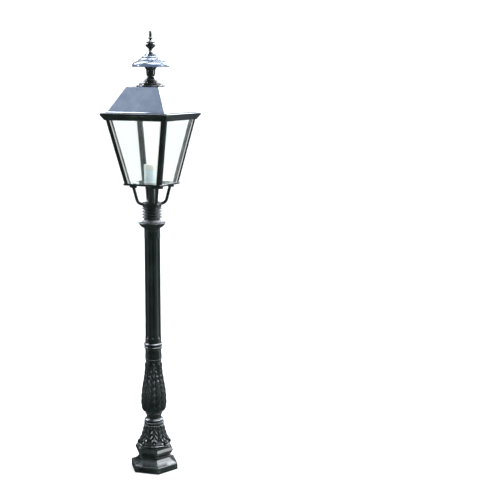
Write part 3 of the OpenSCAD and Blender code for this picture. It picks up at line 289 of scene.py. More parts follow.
def mottle(tree, shader, mm, detail, tints, gloss, spread=None):
    """Clouds of so many mm that change tint and roughness; returns the object's coordinates."""
    place = add(tree, "ShaderNodeTexCoord").outputs["Object"]
    clouds = add(tree, "ShaderNodeTexNoise", {"Vector": place, "Scale": per(mm), "Detail": detail})
    share = clouds
    if spread:
        share = add(tree, "ShaderNodeMapRange", {"Value": clouds.outputs[0], **spread})
    tint = add(tree, "ShaderNodeMix", {0: share.outputs[0], 6: rgba(linear(tints[0])),
                                       7: rgba(linear(tints[1]))}, data_type="RGBA")
    tree.links.new(tint.outputs[2], shader.inputs["Base Color"])
    rough = add(tree, "ShaderNodeMapRange", {"Value": clouds.outputs[0], "To Min": gloss[0],
                                             "To Max": gloss[1]})
    tree.links.new(rough.outputs[0], shader.inputs["Roughness"])
    return place


def fine_marks(tree, shader, place, mm, depth_mm):
    """Fine relief whose marks are so many mm apart."""
    marks = add(tree, "ShaderNodeTexNoise", {"Vector": place, "Scale": per(mm), "Detail": 2.0})
    bumped = add(tree, "ShaderNodeBump", {"Height": marks.outputs[0], "Distance": depth_mm * MM})
    tree.links.new(bumped.outputs[0], shader.inputs["Normal"])


def zinc_steel():
    """Zinc-plated steel: grey metal with cloudy plating and fine brushing from the tumbler."""
    made, tree, shader = surface("zinc_plated_steel", {"Metallic": 1.0})
    place = mottle(tree, shader, 5, 4.0, ("#8e9396", "#b9bdbf"), (0.28, 0.5))
    fine_marks(tree, shader, place, 0.8, 0.03)
    return made


def brass():
    """Turned brass, tarnished brown in clouds."""
    made, tree, shader = surface("turned_brass", {"Metallic": 1.0})
    mottle(tree, shader, 4, 4.0, ("#c9a75a", "#8f6f38"), (0.2, 0.45))
    return made


def white_plate():
    """White stoved enamel on sheet steel: smooth, with slightly yellowed stains."""
    made, tree, shader = surface("white_stoved_enamel", {
        "IOR": 1.5, "Coat Weight": 0.3, "Coat Roughness": 0.12})
    mottle(tree, shader, 28, 5.0, ("#eceeeb", "#bcbab0"), (0.2, 0.5),
           {"From Min": 0.5, "From Max": 0.75, "To Max": 0.35})
    return made


def clear_glass():
    """Float glass: clear with a faint green edge, a trace of dust, and no ripple.

    Light passes it freely.
    """
    made, tree, shader = surface("clear_float_glass", {
        "Transmission Weight": 1.0, "IOR": 1.5, "Base Color": rgba(linear("#fafdfb"))})
    place = add(tree, "ShaderNodeTexCoord").outputs["Object"]
    film = add(tree, "ShaderNodeTexNoise", {"Vector": place, "Scale": per(16), "Detail": 6.0})
    rough = add(tree, "ShaderNodeMapRange", {"Value": film.outputs[0], "From Min": 0.5, "From Max": 0.85,
                                             "To Min": 0.0, "To Max": 0.06})
    tree.links.new(rough.outputs[0], shader.inputs["Roughness"])
    path = add(tree, "ShaderNodeLightPath")
    through = add(tree, "ShaderNodeBsdfTransparent", {0: rgba(linear("#f1f7f4"))})
    both = add(tree, "ShaderNodeMixShader", {0: path.outputs["Is Shadow Ray"], 1: shader.outputs[0],
                                             2: through.outputs[0]})
    tree.links.new(both.outputs[0], tree.nodes["Material Output"].inputs[0])
    return made


def opal_glass():
    """Acid-etched opal glass: milky, faintly blue, with a satin skin and soft light inside it."""
    made, tree, shader = surface("etched_opal_glass", {
        "IOR": 1.5, "Subsurface Weight": 0.5, "Subsurface Scale": 8 * MM, "Coat Weight": 0.15,
        "Coat Roughness": 0.2})
    mottle(tree, shader, 30, 3.0, ("#e3eef4", "#f2f7f9"), (0.26, 0.4))
    return made


def white_plastic():
    """Moulded white thermoplastic: satin, a little warm, with a fine spark-eroded texture."""
    made, tree, shader = surface("moulded_white_plastic", {
        "IOR": 1.46, "Subsurface Weight": 0.1, "Subsurface Scale": 2 * MM})
    place = mottle(tree, shader, 22, 4.0, ("#f4f3ee", "#e9e5d9"), (0.34, 0.5))
    fine_marks(tree, shader, place, 0.7, 0.02)
    return made


def porcelain():
    """Glazed electrical porcelain: white body under a thin hard glaze."""
    made, tree, shader = surface("glazed_porcelain", {
        "IOR": 1.52, "Coat Weight": 0.6, "Coat Roughness": 0.04})
    mottle(tree, shader, 9, 3.0, ("#f0eee8", "#e2ded4"), (0.1, 0.22))
    return made


def seal(name, colour, spotted):
    """Extruded sealing strip: matt, with drawing lines too fine to show, drawn here at 1.5 mm."""
    made, tree, shader = surface(name, {"IOR": 1.5})
    place = mottle(tree, shader, 7, 5.0, (colour, spotted), (0.5, 0.8))
    fine_marks(tree, shader, place, 1.5, 0.05)
    return made


def light_seal():
    """Light grey silicone strip."""
    return seal("grey_silicone_strip", "#cfd2cd", "#a9aca6")


def black_seal():
    """Black rubber strip."""
    return seal("black_rubber_strip", "#19191a", "#2b2b2a")


FINISHES = {
    "enamelled_casting": enamelled_casting, "enamelled_steel": enamelled_steel,
    "enamelled_sheet": enamelled_sheet, "zinc_steel": zinc_steel, "white_plate": white_plate,
    "clear_glass": clear_glass, "opal_glass": opal_glass, "light_seal": light_seal,
    "black_seal": black_seal, "white_plastic": white_plastic, "porcelain": porcelain, "brass": brass,
}


def finish(slot):
    """Material for one of the record's slots, made once."""
    if slot not in MADE:
        MADE[slot] = FINISHES[slot]()
    return MADE[slot]


# ---- Making pieces ----

def piece(name, mesh, nodes, slot):
    """Show a mesh as the finished form of one or more nodes, on the body of the first."""
    nodes = [nodes] if isinstance(nodes, str) else list(nodes)
    made = bpy.data.objects.new(name, mesh)
    bpy.context.scene.collection.objects.link(made)
    mesh.materials.clear()
    mesh.materials.append(finish(slot))
    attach(made, frame["nodes"][nodes[0]]["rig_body"])
    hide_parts(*nodes)
    return made


def smooth(mesh, angle):
    """Shade smooth, with edges sharper than the angle kept."""
    mesh.polygons.foreach_set("use_smooth", [True] * len(mesh.polygons))
    mesh.set_sharp_from_angle(angle=math.radians(angle))
    mesh.update()
    return mesh


def arc(r, z, radius, start, end, n=10):
    """Points of an arc in an outline of [radius, height]."""
    turn = np.radians(np.linspace(start, end, n + 1))
    return np.column_stack([r + radius * np.cos(turn), z + radius * np.sin(turn)])


def curve(p, q, r, s, n=16):
    """Points of a smooth curve from p to s with handles q and r."""
    t = np.linspace(0, 1, n + 1)[:, None]
    p, q, r, s = (np.array(a, float) for a in (p, q, r, s))
    return (1 - t) ** 3 * p + 3 * (1 - t) ** 2 * t * q + 3 * (1 - t) * t * t * r + t ** 3 * s


def roll(r, z, h, n=12):
    """Half-round roll of height h whose top stands at radius r."""
    return arc(r - h / 2, z, h / 2, -90, 90, n)


def outline(*parts):
    """One outline from points and runs of points, each from low to high."""
    return np.vstack([np.atleast_2d(np.array(p, float)) for p in parts])


def denser(points, gap):
    """The same outline with points no further apart than the gap."""
    rows = [points[:1]]
    for a, b in zip(points[:-1], points[1:]):
        n = max(1, int(math.ceil(np.linalg.norm(b - a) / gap)))
        rows.append(a + (b - a) * (np.arange(1, n + 1) / n)[:, None])
    return np.vstack(rows)


def turned(name, points, bore, columns, relief=None, radial=False):
    """Closed mesh turned about Z from an outline in mm; relief gives a height over angle and row."""
    turn = np.arange(columns) * 2 * math.pi / columns
    r = np.repeat(points[:, :1], columns, axis=1)
    z = np.repeat(points[:, 1:], columns, axis=1)
    if relief is not None:
        raised = relief(turn[None, :], points[:, :1], points[:, 1:])
        along = np.gradient(points, axis=0)
        along /= np.maximum(np.linalg.norm(along, axis=1, keepdims=True), 1e-9)
        out = np.column_stack([np.ones(len(points)), np.zeros(len(points))]) if radial else \
            np.column_stack([along[:, 1], -along[:, 0]])
        r = r + raised * out[:, :1]
        z = z + raised * out[:, 1:]
    ends = ([bore, points[-1, 1]], [bore, points[0, 1]])
    if bore:
        r = np.vstack([r] + [np.full((1, columns), e[0]) for e in ends])
        z = np.vstack([z] + [np.full((1, columns), e[1]) for e in ends])
    rows = len(r)
    co = np.stack([r * np.cos(turn), r * np.sin(turn), z], axis=-1).reshape(-1, 3) * MM
    i, j = np.meshgrid(np.arange(rows if bore else rows - 1), np.arange(columns), indexing="ij")
    i2, j2 = (i + 1) % rows, (j + 1) % columns
    faces = np.stack([i * columns + j, i * columns + j2, i2 * columns + j2, i2 * columns + j],
                     axis=-1).reshape(-1, 4).tolist()
    if not bore:
        faces.append(list(range(columns))[::-1])
        faces.append(list(range((rows - 1) * columns, rows * columns)))
    mesh = bpy.data.meshes.new(name)
    mesh.from_pydata(co.tolist(), [], faces)
    mesh.validate()
    return mesh


def turning(name, node, slot, points, bore, angle, columns, relief=None, radial=False):
    """Show a mesh turned about Z as the finished form of one node."""
    piece(name, smooth(turned(name, points, bore, columns, relief, radial), angle), node, slot)


def softened(name, node, width, segments=3, shortest=5.0, finer=0):
    """Copy of a node's mesh with its long sharp edges rounded, for rounded() below."""
    bm = bmesh.new()
    bm.from_mesh(frame["nodes"][node].data)
    bmesh.ops.remove_doubles(bm, verts=bm.verts, dist=0.01 * MM)
    bmesh.ops.dissolve_limit(bm, angle_limit=math.radians(0.4), verts=bm.verts, edges=bm.edges)
    mesh = bpy.data.meshes.new(name)
    bm.to_mesh(mesh)
    bm.free()
    if "custom_normal" in mesh.attributes:
        mesh.attributes.remove(mesh.attributes["custom_normal"])
    return rounded(name, mesh, width, segments, shortest, finer)


def rounded(name, mesh, width, segments, shortest, finer):
    """The mesh with long sharp edges rounded and wide faces halved, so that wear stays at edges."""
    holder = bpy.data.objects.new(name + "_work", mesh)
    bpy.context.scene.collection.objects.link(holder)
    bm = bmesh.new()
    bm.from_mesh(mesh)
    weights = bm.edges.layers.float
    layer = weights.get("bevel_weight_edge") or weights.new("bevel_weight_edge")
    for edge in bm.edges:
        sharp = len(edge.link_faces) == 2 and edge.calc_face_angle(0) > math.radians(24)
        edge[layer] = 1.0 if sharp and edge.calc_length() > shortest * MM else 0.0
    bm.to_mesh(mesh)
    bm.free()
    bevel = holder.modifiers.new("rounding", "BEVEL")
    bevel.width, bevel.segments, bevel.limit_method = width, segments, "WEIGHT"
    bevel.use_clamp_overlap = True
    bevel.miter_outer = "MITER_ARC"
    if finer:
        # Known fault: a face that is a ring is divided across its opening too, which leaves a stray
        # sheet there, in the cornice's throat and in the holes of tray and foot
        halves = holder.modifiers.new("halves", "SUBSURF")
        halves.subdivision_type, halves.levels = "SIMPLE", finer
    done = bpy.data.meshes.new_from_object(
        holder.evaluated_get(bpy.context.evaluated_depsgraph_get()))
    bpy.data.objects.remove(holder)
    done.name = name
    return smooth(done, 28)


# ---- Carving ----

def leaf(angle, t, half, lobes, sweep):
    """Height, 0 to about 1, of a carved leaf: midrib, swept lobes with sharp grooves, notched edge."""
    side = np.abs(angle) / half
    width = np.sqrt(np.clip(1 - t ** 4, 0, 1)) * (0.6 + 0.36 * np.sin(np.pi * np.clip(t, 0, 1) ** 0.8))
    groove = np.abs(np.sin(np.pi * (t * lobes - sweep * side)))
    edge = width * (0.8 + 0.2 * groove ** 0.7)
    inside = step((edge - side) / 0.1)
    lobe = 0.28 + 0.66 * groove ** 0.7 - 0.2 * (side / np.maximum(width, 0.05)) ** 2
    rib = 0.4 * np.exp(-(side / 0.09) ** 2)
    channel = 0.45 * np.exp(-((side - 0.2) / 0.06) ** 2)
    return np.clip(inside * (lobe + rib - channel), 0, 1.2)


def wrapped(turn, count, shift):
    """Angle from the nearest of so many evenly spaced lines, in radians."""
    pitch = 2 * math.pi / count
    return (turn - math.radians(shift) + pitch / 2) % pitch - pitch / 2


# ---- Operators: one for each group of pieces ----

class LANTERN_OT_foot(bpy.types.Operator):
    """Hexagonal foot casting with rounded arrises."""
    bl_idname = "lantern.foot"
    bl_label = "Foot"

    def execute(self, context):
        edge = context.scene.lantern_sizes.edge
        piece("plinth_casting", softened("plinth_casting", "plinth", edge, finer=3), "plinth",
              "enamelled_casting")
        return {"FINISHED"}


class LANTERN_OT_leaf_bell(bpy.types.Operator):
    """Bell with hanging leaves under two rows of beads."""
    bl_idname = "lantern.leaf_bell"
    bl_label = "Leaf bell"

    def execute(self, context):
        depth = context.scene.lantern_sizes.leaf_depth / MM
        z, top = low("leaf_bell"), high("leaf_bell")
        foot, neck = z + 11, top - 22
        r_collar, r_foot, r_neck = reach("leaf_bell"), 65.0, 42.5
        body = outline(
            [[r_collar - 1, z], [r_collar, z + 1]], arc(r_collar - 4, foot - 4, 4, 0, 90),
            [[r_foot + 0.5, foot], [r_foot - 5, foot + 0.6], [r_foot - 6, foot + 3]],
            curve([r_foot - 3, foot + 5], [r_foot - 11, foot + 17], [r_neck + 2, neck - 24],
                  [r_neck - 2, neck], 30),
            [[r_neck - 2, neck + 1], [r_neck - 2, neck + 10], [r_neck - 2.5, top - 8],
             [r_neck - 2.5, top - 1], [r_neck - 4, top]])
        body = denser(body, 1.1)

        def relief(turn, r, h):
            t = (neck - h) / (neck - foot - 3)
            on_bell = (t > 0) & (h > foot + 2.5)
            main = leaf(wrapped(turn, 8, LEAF_TURN), t * 0.98, math.pi / 8, 3.6, 1.3)
            between = 0.7 * leaf(wrapped(turn, 8, LEAF_TURN + 22.5), t * 1.25, math.pi / 16, 3.0, 1.2)
            curl = 1 + 0.9 * step((t - 0.55) / 0.45)
            height = np.where(on_bell, depth * 0.9 * curl * np.maximum(main, between), 0.0)
            for middle, tall, count, radius in ((neck + 5, 8.0, 24, 4.4), (top - 4, 6.5, 28, 3.6)):
                across = wrapped(turn, count, LEAF_TURN) * r_neck / radius
                up = (h - middle) / (tall / 2)
                height = np.maximum(height, 4.2 * np.sqrt(np.clip(1 - across ** 2 - up ** 2, 0, 1)))
            return height

        turning("leaf_bell_carving", "leaf_bell", "enamelled_casting", body, BORE, 60, 384, relief)
        return {"FINISHED"}


class LANTERN_OT_waist_ring(bpy.types.Operator):
    """Thick roll, plain neck and thin ring under the baluster."""
    bl_idname = "lantern.waist_ring"
    bl_label = "Waist ring"

    def execute(self, context):
        z, top = low("waist_ring"), high("waist_ring")
        body = outline(
            [[35.5, z]], roll(41.5, z + 6, 12, 20),
            curve([33.5, z + 12.5], [30.5, z + 16], [30.5, top - 19], [34.5, top - 11.5]),
            roll(37.5, top - 8, 5), [[33.5, top - 5], [33.5, top]])
        turning("waist_ring_casting", "waist_ring", "enamelled_casting", body, BORE, 40,
                context.scene.lantern_sizes.columns)
        return {"FINISHED"}


class LANTERN_OT_baluster(bpy.types.Operator):
    """Baluster carved with four broad leaves and four narrow ones between them."""
    bl_idname = "lantern.baluster"
    bl_label = "Baluster"

    def execute(self, context):
        depth = context.scene.lantern_sizes.leaf_depth / MM
        z, top = low("baluster"), high("baluster")
        rise = top - z - 38
        body = outline(
            curve([35.5, z], [42, z + 6], [48.5, z + 18], [48.5, z + 38], 24),
            curve([48.5, z + 39], [48.5, z + 38 + rise * 0.4], [31, top - rise * 0.4],
                  [31, top - 14], 80),
            [[31, top - 4], [33.5, top - 3], [33.5, top]])
        body = denser(body, 1.2)

        def relief(turn, r, h):
            t = (h - z) / (top - 6 - z)
            fade = step((h - z + 1) / 5) * step((top - 4 - h) / 5)
            main = leaf(wrapped(turn, 4, LEAF_TURN), t, math.pi / 4 * 0.98, 8.0, 2.0)
            between = 0.75 * leaf(wrapped(turn, 4, LEAF_TURN + 45), 1.1 * t - 0.08, math.pi / 9, 9.0,
                                  1.4)
            return depth * fade * np.maximum(main, np.where(t > 0.07, between, 0))

        turning("baluster_carving", "baluster", "enamelled_casting", body, BORE, 60, 400, relief)
        return {"FINISHED"}


class LANTERN_OT_rings(bpy.types.Operator):
    """Ring of beads, plain collar and double ring above the baluster."""
    bl_idname = "lantern.rings"
    bl_label = "Rings"

    def execute(self, context):
        columns = context.scene.lantern_sizes.columns
        z, top = low("bead_ring"), high("bead_ring")
        middle, bead, count = (z + top) / 2, 5.5, 20
        ring = 35.5 - bead

        def beads(turn, r, h):
            off = wrapped(turn, count, 0)
            inside = bead ** 2 - (h - middle) ** 2 - (ring * np.sin(off)) ** 2
            ball = ring * np.cos(off) + np.sqrt(np.clip(inside, 0, None))
            return np.where(inside > 0, np.maximum(ball - r, 0), 0.0)

        body = denser(outline([[32, z], [32.5, z + 0.5], [32.5, top - 0.5], [32, top]]), 0.45)
        turning("bead_ring_casting", "bead_ring", "enamelled_casting", body, BORE, 50, 480, beads, True)
        z, top = low("plain_collar"), high("plain_collar")
        body = outline([[35, z], [36, z + 1]], curve([36, z + 3], [35.6, z + 15], [33.6, z + 22],
                       [35, top - 2]), [[35, top - 0.8], [34.4, top]])
        turning("plain_collar_casting", "plain_collar", "enamelled_casting", body, BORE, 40, columns)
        z, top = low("double_ring"), high("double_ring")
        body = outline([[33.5, z]], roll(39.5, z + 7, 11, 18), [[33.8, z + 13.6]],
                       roll(40.5, z + 21, 12, 18),
                       curve([35.6, z + 27.6], [34.8, z + 29], [34.4, z + 31], [34.3, top], 5))
        turning("double_ring_casting", "double_ring", "enamelled_casting", body, BORE, 40, columns)
        return {"FINISHED"}


class LANTERN_OT_shaft(bpy.types.Operator):
    """Tapered shaft with eight round-ended flutes."""
    bl_idname = "lantern.shaft"
    bl_label = "Fluted shaft"

    def execute(self, context):
        z, top = low("fluted_shaft"), high("fluted_shaft")
        r_foot, r_top, depth, hollow = 34.25, 33.25, 3.4, 14.0
        start, end = z + 9, top - 30

        def flutes(turn, r, h):
            off = wrapped(turn, 8, LEAF_TURN)
            centre = r - depth + hollow
            past = np.maximum(np.maximum(start + hollow - h, h - end + hollow), 0)
            inside = hollow ** 2 - past ** 2 - (centre * np.sin(off)) ** 2
            cut = centre * np.cos(off) - np.sqrt(np.clip(inside, 0, None))
            deep = np.where(inside > 0, np.maximum(r - cut, 0), 0.0)
            return -deep * step(deep / 0.9)

        ends = [np.linspace(z, start + 16, 26), np.linspace(start + 16, end - 16, 16)[1:],
                np.linspace(end - 16, end + 2, 24)[1:], np.linspace(end + 2, top, 5)[1:]]
        heights = np.concatenate(ends)
        radii = r_foot + (r_top - r_foot) * (heights - z) / (top - z)
        body = np.column_stack([radii, heights])
        turning("fluted_shaft_casting", "fluted_shaft", "enamelled_casting", body, BORE, 55, 384,
                flutes, True)
        return {"FINISHED"}


class LANTERN_OT_capital(bpy.types.Operator):
    """Capital: a dish with an upturned rim, and a skirt of slightly twisted petals inside it."""
    bl_idname = "lantern.capital"
    bl_label = "Capital"

    def execute(self, context):
        z, top = low("capital"), high("capital")
        r, rim = reach("capital"), z + 30
        body = outline(
            [[33, z], [33.8, z + 1], [33.8, z + 4.5], [34.6, z + 6]],
            curve([37, z + 7.2], [42, z + 9.5], [45, z + 12], [47.5, z + 15], 10),
            curve([49.5, z + 16.6], [52.5, z + 19], [54, z + 22], [54.6, z + 25], 8),
            arc(r - 2, rim - 2, 2, -35, 125, 12),
            [[r - 5, rim - 2.0], [r - 12, rim - 3.2]],
            curve([r - 15, rim - 3.2], [r - 20, rim - 1.5], [34.5, top - 13], [33, top - 4.5], 26),
            [[33, top - 0.8], [32.2, top]])
        body = denser(body, 0.9)

        def petals(turn, r_here, h):
            t = (h - rim + 3.4) / (top - 4.0 - rim + 3.4)
            on_skirt = (t > 0) & (t < 1) & (r_here < r - 12.5)
            off = wrapped(turn + 0.10 * t, 20, LEAF_TURN) * 10
            across = np.sqrt(np.clip(1 - np.abs(off / 1.3) ** 3, 0, 1))
            tip = step(t / 0.05) * np.sqrt(np.clip(1.03 - t, 0, 1)) * \
                np.sqrt(np.clip(1 - (1 - t / 0.3) ** 2, 0, 1) * (t < 0.3) + (t >= 0.3))
            return 6.0 * across * np.where(on_skirt, tip, 0)

        turning("capital_casting", "capital", "enamelled_casting", body, NUT_BORE, 50, 440, petals)
        return {"FINISHED"}


def swept(name, path, radius, sides):
    """Closed round bar along a path of points in metres."""
    bm = bmesh.new()
    rings = []
    for i, p in enumerate(path):
        ahead = (path[min(i + 1, len(path) - 1)] - path[max(i - 1, 0)]).normalized()
        across = ahead.cross(Vector((0, 1, 0))).normalized()
        up = ahead.cross(across)
        rings.append([bm.verts.new(p + radius * (math.cos(a) * across + math.sin(a) * up))
                      for a in (2 * math.pi * k / sides for k in range(sides))])
    for a, b in zip(rings[:-1], rings[1:]):
        for k in range(sides):
            bm.faces.new([a[k], a[(k + 1) % sides], b[(k + 1) % sides], b[k]])
    bm.faces.new(rings[0][::-1])
    bm.faces.new(rings[-1])
    bmesh.ops.recalc_face_normals(bm, faces=bm.faces)
    mesh = bpy.data.meshes.new(name)
    bm.to_mesh(mesh)
    bm.free()
    return mesh


class LANTERN_OT_neck(bpy.types.Operator):
    """Neck with upturned ribs."""
    bl_idname = "lantern.neck"
    bl_label = "Ribbed neck"

    def execute(self, context):
        z, top, r = low("neck_socket"), high("neck_socket") - 5, reach("neck_socket")
        pitch, core = (top - z) / 3.9, 27.0
        ribs = []
        for k in range(4):
            tip = z + 4.75 + k * pitch
            ribs += [[[core, max(z + 0.5, tip - 7.2)]],
                     curve([core + 2, max(z + 0.9, tip - 6.6)], [core + 7, tip - 5.2],
                           [r - 5, tip - 3.8], [r - 1.6, tip - 2.2], 6),
                     arc(r - 1.9, tip + 0.3, 1.9, -55, 120, 8),
                     curve([r - 4.5, tip + 1.4], [r - 8, tip + 0.4], [core + 3, tip + 0.6],
                           [core, tip + 3.4], 6)]
        body = outline([[core - 0.6, z], [core, z + 0.3]], *ribs,
                       [[core, top], [24.1, top], [24.1, top + 5]])
        turning("neck_casting", "neck_socket", "enamelled_casting", body, NECK_BORE, 40,
                context.scene.lantern_sizes.columns)
        return {"FINISHED"}


class LANTERN_OT_arms(bpy.types.Operator):
    """Four bent round bars, each forged to a pad under the tray."""
    bl_idname = "lantern.arms"
    bl_label = "Arms"

    def execute(self, context):
        z, pad_top = (low("arm_front_left") + 6.5) * MM, high("arm_front_left") * MM
        lean, bend, start = math.radians(75), 25 * MM, 40 * MM
        path = [Vector((x * MM, 0, z)) for x in (30, 36, 40)]
        for k in range(1, 17):
            a = lean * k / 16
            path.append(Vector((start + bend * math.sin(a), 0, z + bend * (1 - math.cos(a)))))
        last = path[-1]
        rise = pad_top - 7 * MM - last.z
        for k in range(1, 7):
            path.append(last + Vector((rise / math.tan(lean), 0, rise)) * (k / 6))
        pad_x = path[-1].x + 1.2 * MM
        piece("arm_hub_turning", softened("arm_hub_turning", "arm_hub", 0.8 * MM, 2, 1.0), "arm_hub",
              "enamelled_casting")
        for k, corner in enumerate(CORNERS):
            name = f"arm_{corner}_bar"
            bar = bpy.data.objects.new(name, swept(name, path, 6.5 * MM, 32))
            bm = bmesh.new()
            bmesh.ops.create_cube(bm, size=1, matrix=Matrix.Translation((pad_x, 0, pad_top - 5 * MM))
                                  @ Matrix.Diagonal((20 * MM, 44 * MM, 10 * MM, 1)))
            bmesh.ops.bevel(bm, geom=bm.edges[:], offset=1.6 * MM, segments=3, profile=0.5,
                            affect="EDGES")
            pad_mesh = bpy.data.meshes.new(name + "_pad")
            bm.to_mesh(pad_mesh)
            bm.free()
            pad = bpy.data.objects.new(name + "_pad", pad_mesh)
            for part in (bar, pad):
                context.scene.collection.objects.link(part)
            join = bar.modifiers.new("weld", "BOOLEAN")
            join.operation, join.object, join.solver = "UNION", pad, "EXACT"
            context.view_layer.update()
            mesh = bpy.data.meshes.new_from_object(bar.evaluated_get(context.evaluated_depsgraph_get()))
            bpy.data.objects.remove(bar)
            bpy.data.objects.remove(pad)
            mesh.transform(Matrix.Rotation(math.radians(-135 + 90 * k), 4, "Z"))
            mesh.name = name
            piece(name, smooth(mesh, 35), f"arm_{corner}", "enamelled_steel")
        return {"FINISHED"}


def roof_sheet():
    """Closed mesh of the folded roof: flared lip, four sloping faces and flat top, open below."""
    lip_w, lip_low, lip_top = reach("roof_rim"), low("roof_rim"), high("roof_rim")
    top_w, under, top = reach("roof_top"), low("roof_top"), high("roof_top")
    wall = 5.0
    loops = [(lip_w - wall, lip_low), (lip_w, lip_low), (lip_w, lip_top - 4.0),
             (lip_w - 5.2, lip_top - 1.0), (lip_w - 5.8, lip_top + 0.6), (top_w - 0.8, top - 1.6),
             (top_w - 2.2, top), (ROD_BORE, top), (ROD_BORE, under), (top_w - wall, under),
             (lip_w - wall - 6.4, lip_top)]
    corners = ((1, -1), (1, 1), (-1, 1), (-1, -1))
    co = [(x * w * MM, y * w * MM, z * MM) for w, z in loops for x, y in corners]
    faces = []
    for i in range(len(loops)):
        j = (i + 1) % len(loops)
        for k in range(4):
            m = (k + 1) % 4
            faces.append([i * 4 + k, i * 4 + m, j * 4 + m, j * 4 + k])
    mesh = bpy.data.meshes.new("roof_sheet")
    mesh.from_pydata(co, [], faces)
    mesh.validate()
    return mesh


class LANTERN_OT_frame(bpy.types.Operator):
    """Tray, corner stiles, cornice and roof with rounded edges."""
    bl_idname = "lantern.frame"
    bl_label = "Lantern frame and roof"

    def execute(self, context):
        edge, sheet_edge = context.scene.lantern_sizes.edge, context.scene.lantern_sizes.sheet_edge
        piece("tray_casting", softened("tray_casting", "tray", edge * 0.6, finer=3), "tray",
              "enamelled_steel")
        for corner in CORNERS:
            name = f"stile_{corner}_angle"
            piece(name, softened(name, f"stile_{corner}", sheet_edge, finer=3), f"stile_{corner}",
                  "enamelled_steel")
        piece("cornice_moulding", softened("cornice_moulding", "cornice", edge * 0.9, finer=3),
              "cornice", "enamelled_steel")
        # The roof sheet's blue-grey enamel is a painted sky reflection on dark gloss paint
        piece("roof_sheet", rounded("roof_sheet", roof_sheet(), sheet_edge * 1.6, 3, 30.0, 4),
              ("roof_panels", "roof_rim", "roof_top"), "enamelled_sheet")
        return {"FINISHED"}


class LANTERN_OT_finial(bpy.types.Operator):
    """Stepped base, vase, shallow hood and turned spire."""
    bl_idname = "lantern.finial"
    bl_label = "Finial"

    def execute(self, context):
        columns = context.scene.lantern_sizes.columns
        z, top = low("finial_base"), high("finial_base")
        base = outline(
            [[58, z]], arc(57.6, z + 1.4, 1.4, -60, 0, 4), arc(57.6, z + 3.6, 1.4, 0, 70, 4),
            curve([56, z + 6], [52, z + 6.4], [49, z + 6.8], [47.4, z + 8.4], 8),
            arc(45.6, z + 12.4, 1.6, 0, 80, 5),
            curve([44, z + 15.2], [34, z + 16], [24, z + 16.4], [22.6, z + 18], 10),
            [[22.5, top - 4.6]], roll(30.5, top - 2.1, 3.4, 8), [[28, top]])
        turning("finial_base_turning", "finial_base", "enamelled_casting", base, ROD_BORE, 35, columns)
        z, top = low("vase_neck"), high("vase_neck")
        vase = outline(
            [[26, z]], roll(26.5, z + 1.3, 2.2, 6),
            curve([22.5, z + 4], [22, z + 12], [13.5, z + 14], [14.3, z + 19.5]),
            curve([16, z + 21], [18.5, z + 26], [18.3, z + 34], [18.6, top - 14]),
            curve([18.8, top - 12], [19.8, top - 8], [22, top - 5], [25.5, top], 10))
        turning("vase_neck_turning", "vase_neck", "enamelled_casting", vase, ROD_BORE, 35, columns)
        z, top, r = low("hood"), high("hood"), reach("hood")
        shelf, collar, lower, upper = 49.5, 36.25, top - 20.6, top - 9.6
        hood = outline(
            [[26, z], [26, upper + 3], [collar - 3, upper], [collar, upper - 3.5],
             [shelf - 5, lower + 1.5], [shelf - 3.5, lower], [shelf, lower - 3.5]],
            curve([r - 16, z + 18], [r - 9, z + 15], [r - 4, z + 10], [r - 2.5, z + 1.8], 12),
            arc(r - 1.2, z + 1.2, 1.2, -150, 0, 6), [[r, z + 8]],
            curve([r - 0.5, z + 10], [r - 4, z + 17], [r - 13, z + 20.5], [shelf, lower], 24),
            [[shelf - 0.5, lower + 3.6], [shelf - 1.4, lower + 4.3], [shelf - 3, lower + 4.3]],
            curve([shelf - 5, lower + 5.2], [collar + 6, upper - 2.6], [collar + 3, upper - 1.4],
                  [collar, upper], 8),
            [[collar - 0.5, upper + 4.2], [collar - 1.4, upper + 5], [collar - 2.5, upper + 5]],
            curve([collar - 4, upper + 5.4], [32, upper + 6.4], [29, upper + 8.2], [26, top], 8))
        # The hood takes the sheet enamel, whose blue-grey is a painted sky reflection on dark gloss
        # paint
        turning("hood_turning", "hood", "enamelled_sheet", hood, ROD_BORE, 35, columns)
        z, tip = low("spire"), high("spire")
        urn, spindle = z + 22, tip - 26.5
        spire = outline(
            [[4.05, z + 16], [4.05, z], [22, z], [23, z + 1], [23, z + 4], [22, z + 5]],
            curve([20, z + 6], [16, z + 9], [9, z + 14], [7, urn], 12),
            curve([7, urn + 2], [9, urn + 8], [17, urn + 11], [20.5, urn + 18.5], 12),
            [[20.5, urn + 20.5], [14, urn + 24], [12.5, urn + 27.5]], roll(18.5, urn + 31, 4, 10),
            curve([12, urn + 33.5], [11, urn + 38], [6, urn + 39], [4.2, urn + 42], 10),
            roll(9.5, urn + 48, 6, 12), [[4.4, spindle]],
            curve([4.6, spindle + 3], [6, spindle + 8], [6, spindle + 14], [5, tip - 4], 12),
            arc(0.9, tip - 4, 4, 0, 82, 8))
        turning("spire_turning", "spire", "enamelled_casting", spire, 0, 35, columns)
        return {"FINISHED"}


class LANTERN_OT_lamp(bpy.types.Operator):
    """Opal cylinder and its white cap, with rounded rims."""
    bl_idname = "lantern.lamp"
    bl_label = "Lamp cover"

    def execute(self, context):
        columns = context.scene.lantern_sizes.columns
        z, top = low("opal_cylinder"), high("opal_cylinder")
        tube = outline(arc(29, z + 1, 1, -90, 0, 4), arc(29, top - 1, 1, 0, 90, 4))
        turning("opal_cylinder_glass", "opal_cylinder", "opal_glass", tube, 27.5, 40, columns)
        z, top = low("opal_cap"), high("opal_cap")
        cap = outline([[30.05, top - 1.5], [30.05, z]], [[30.4, z]], [[30.8, z + 0.5]],
                      arc(28.8, top - 2, 2, 0, 90, 8), [[0.5, top]])
        turning("opal_cap_moulding", "opal_cap", "white_plastic", cap, 0, 40, columns)
        return {"FINISHED"}


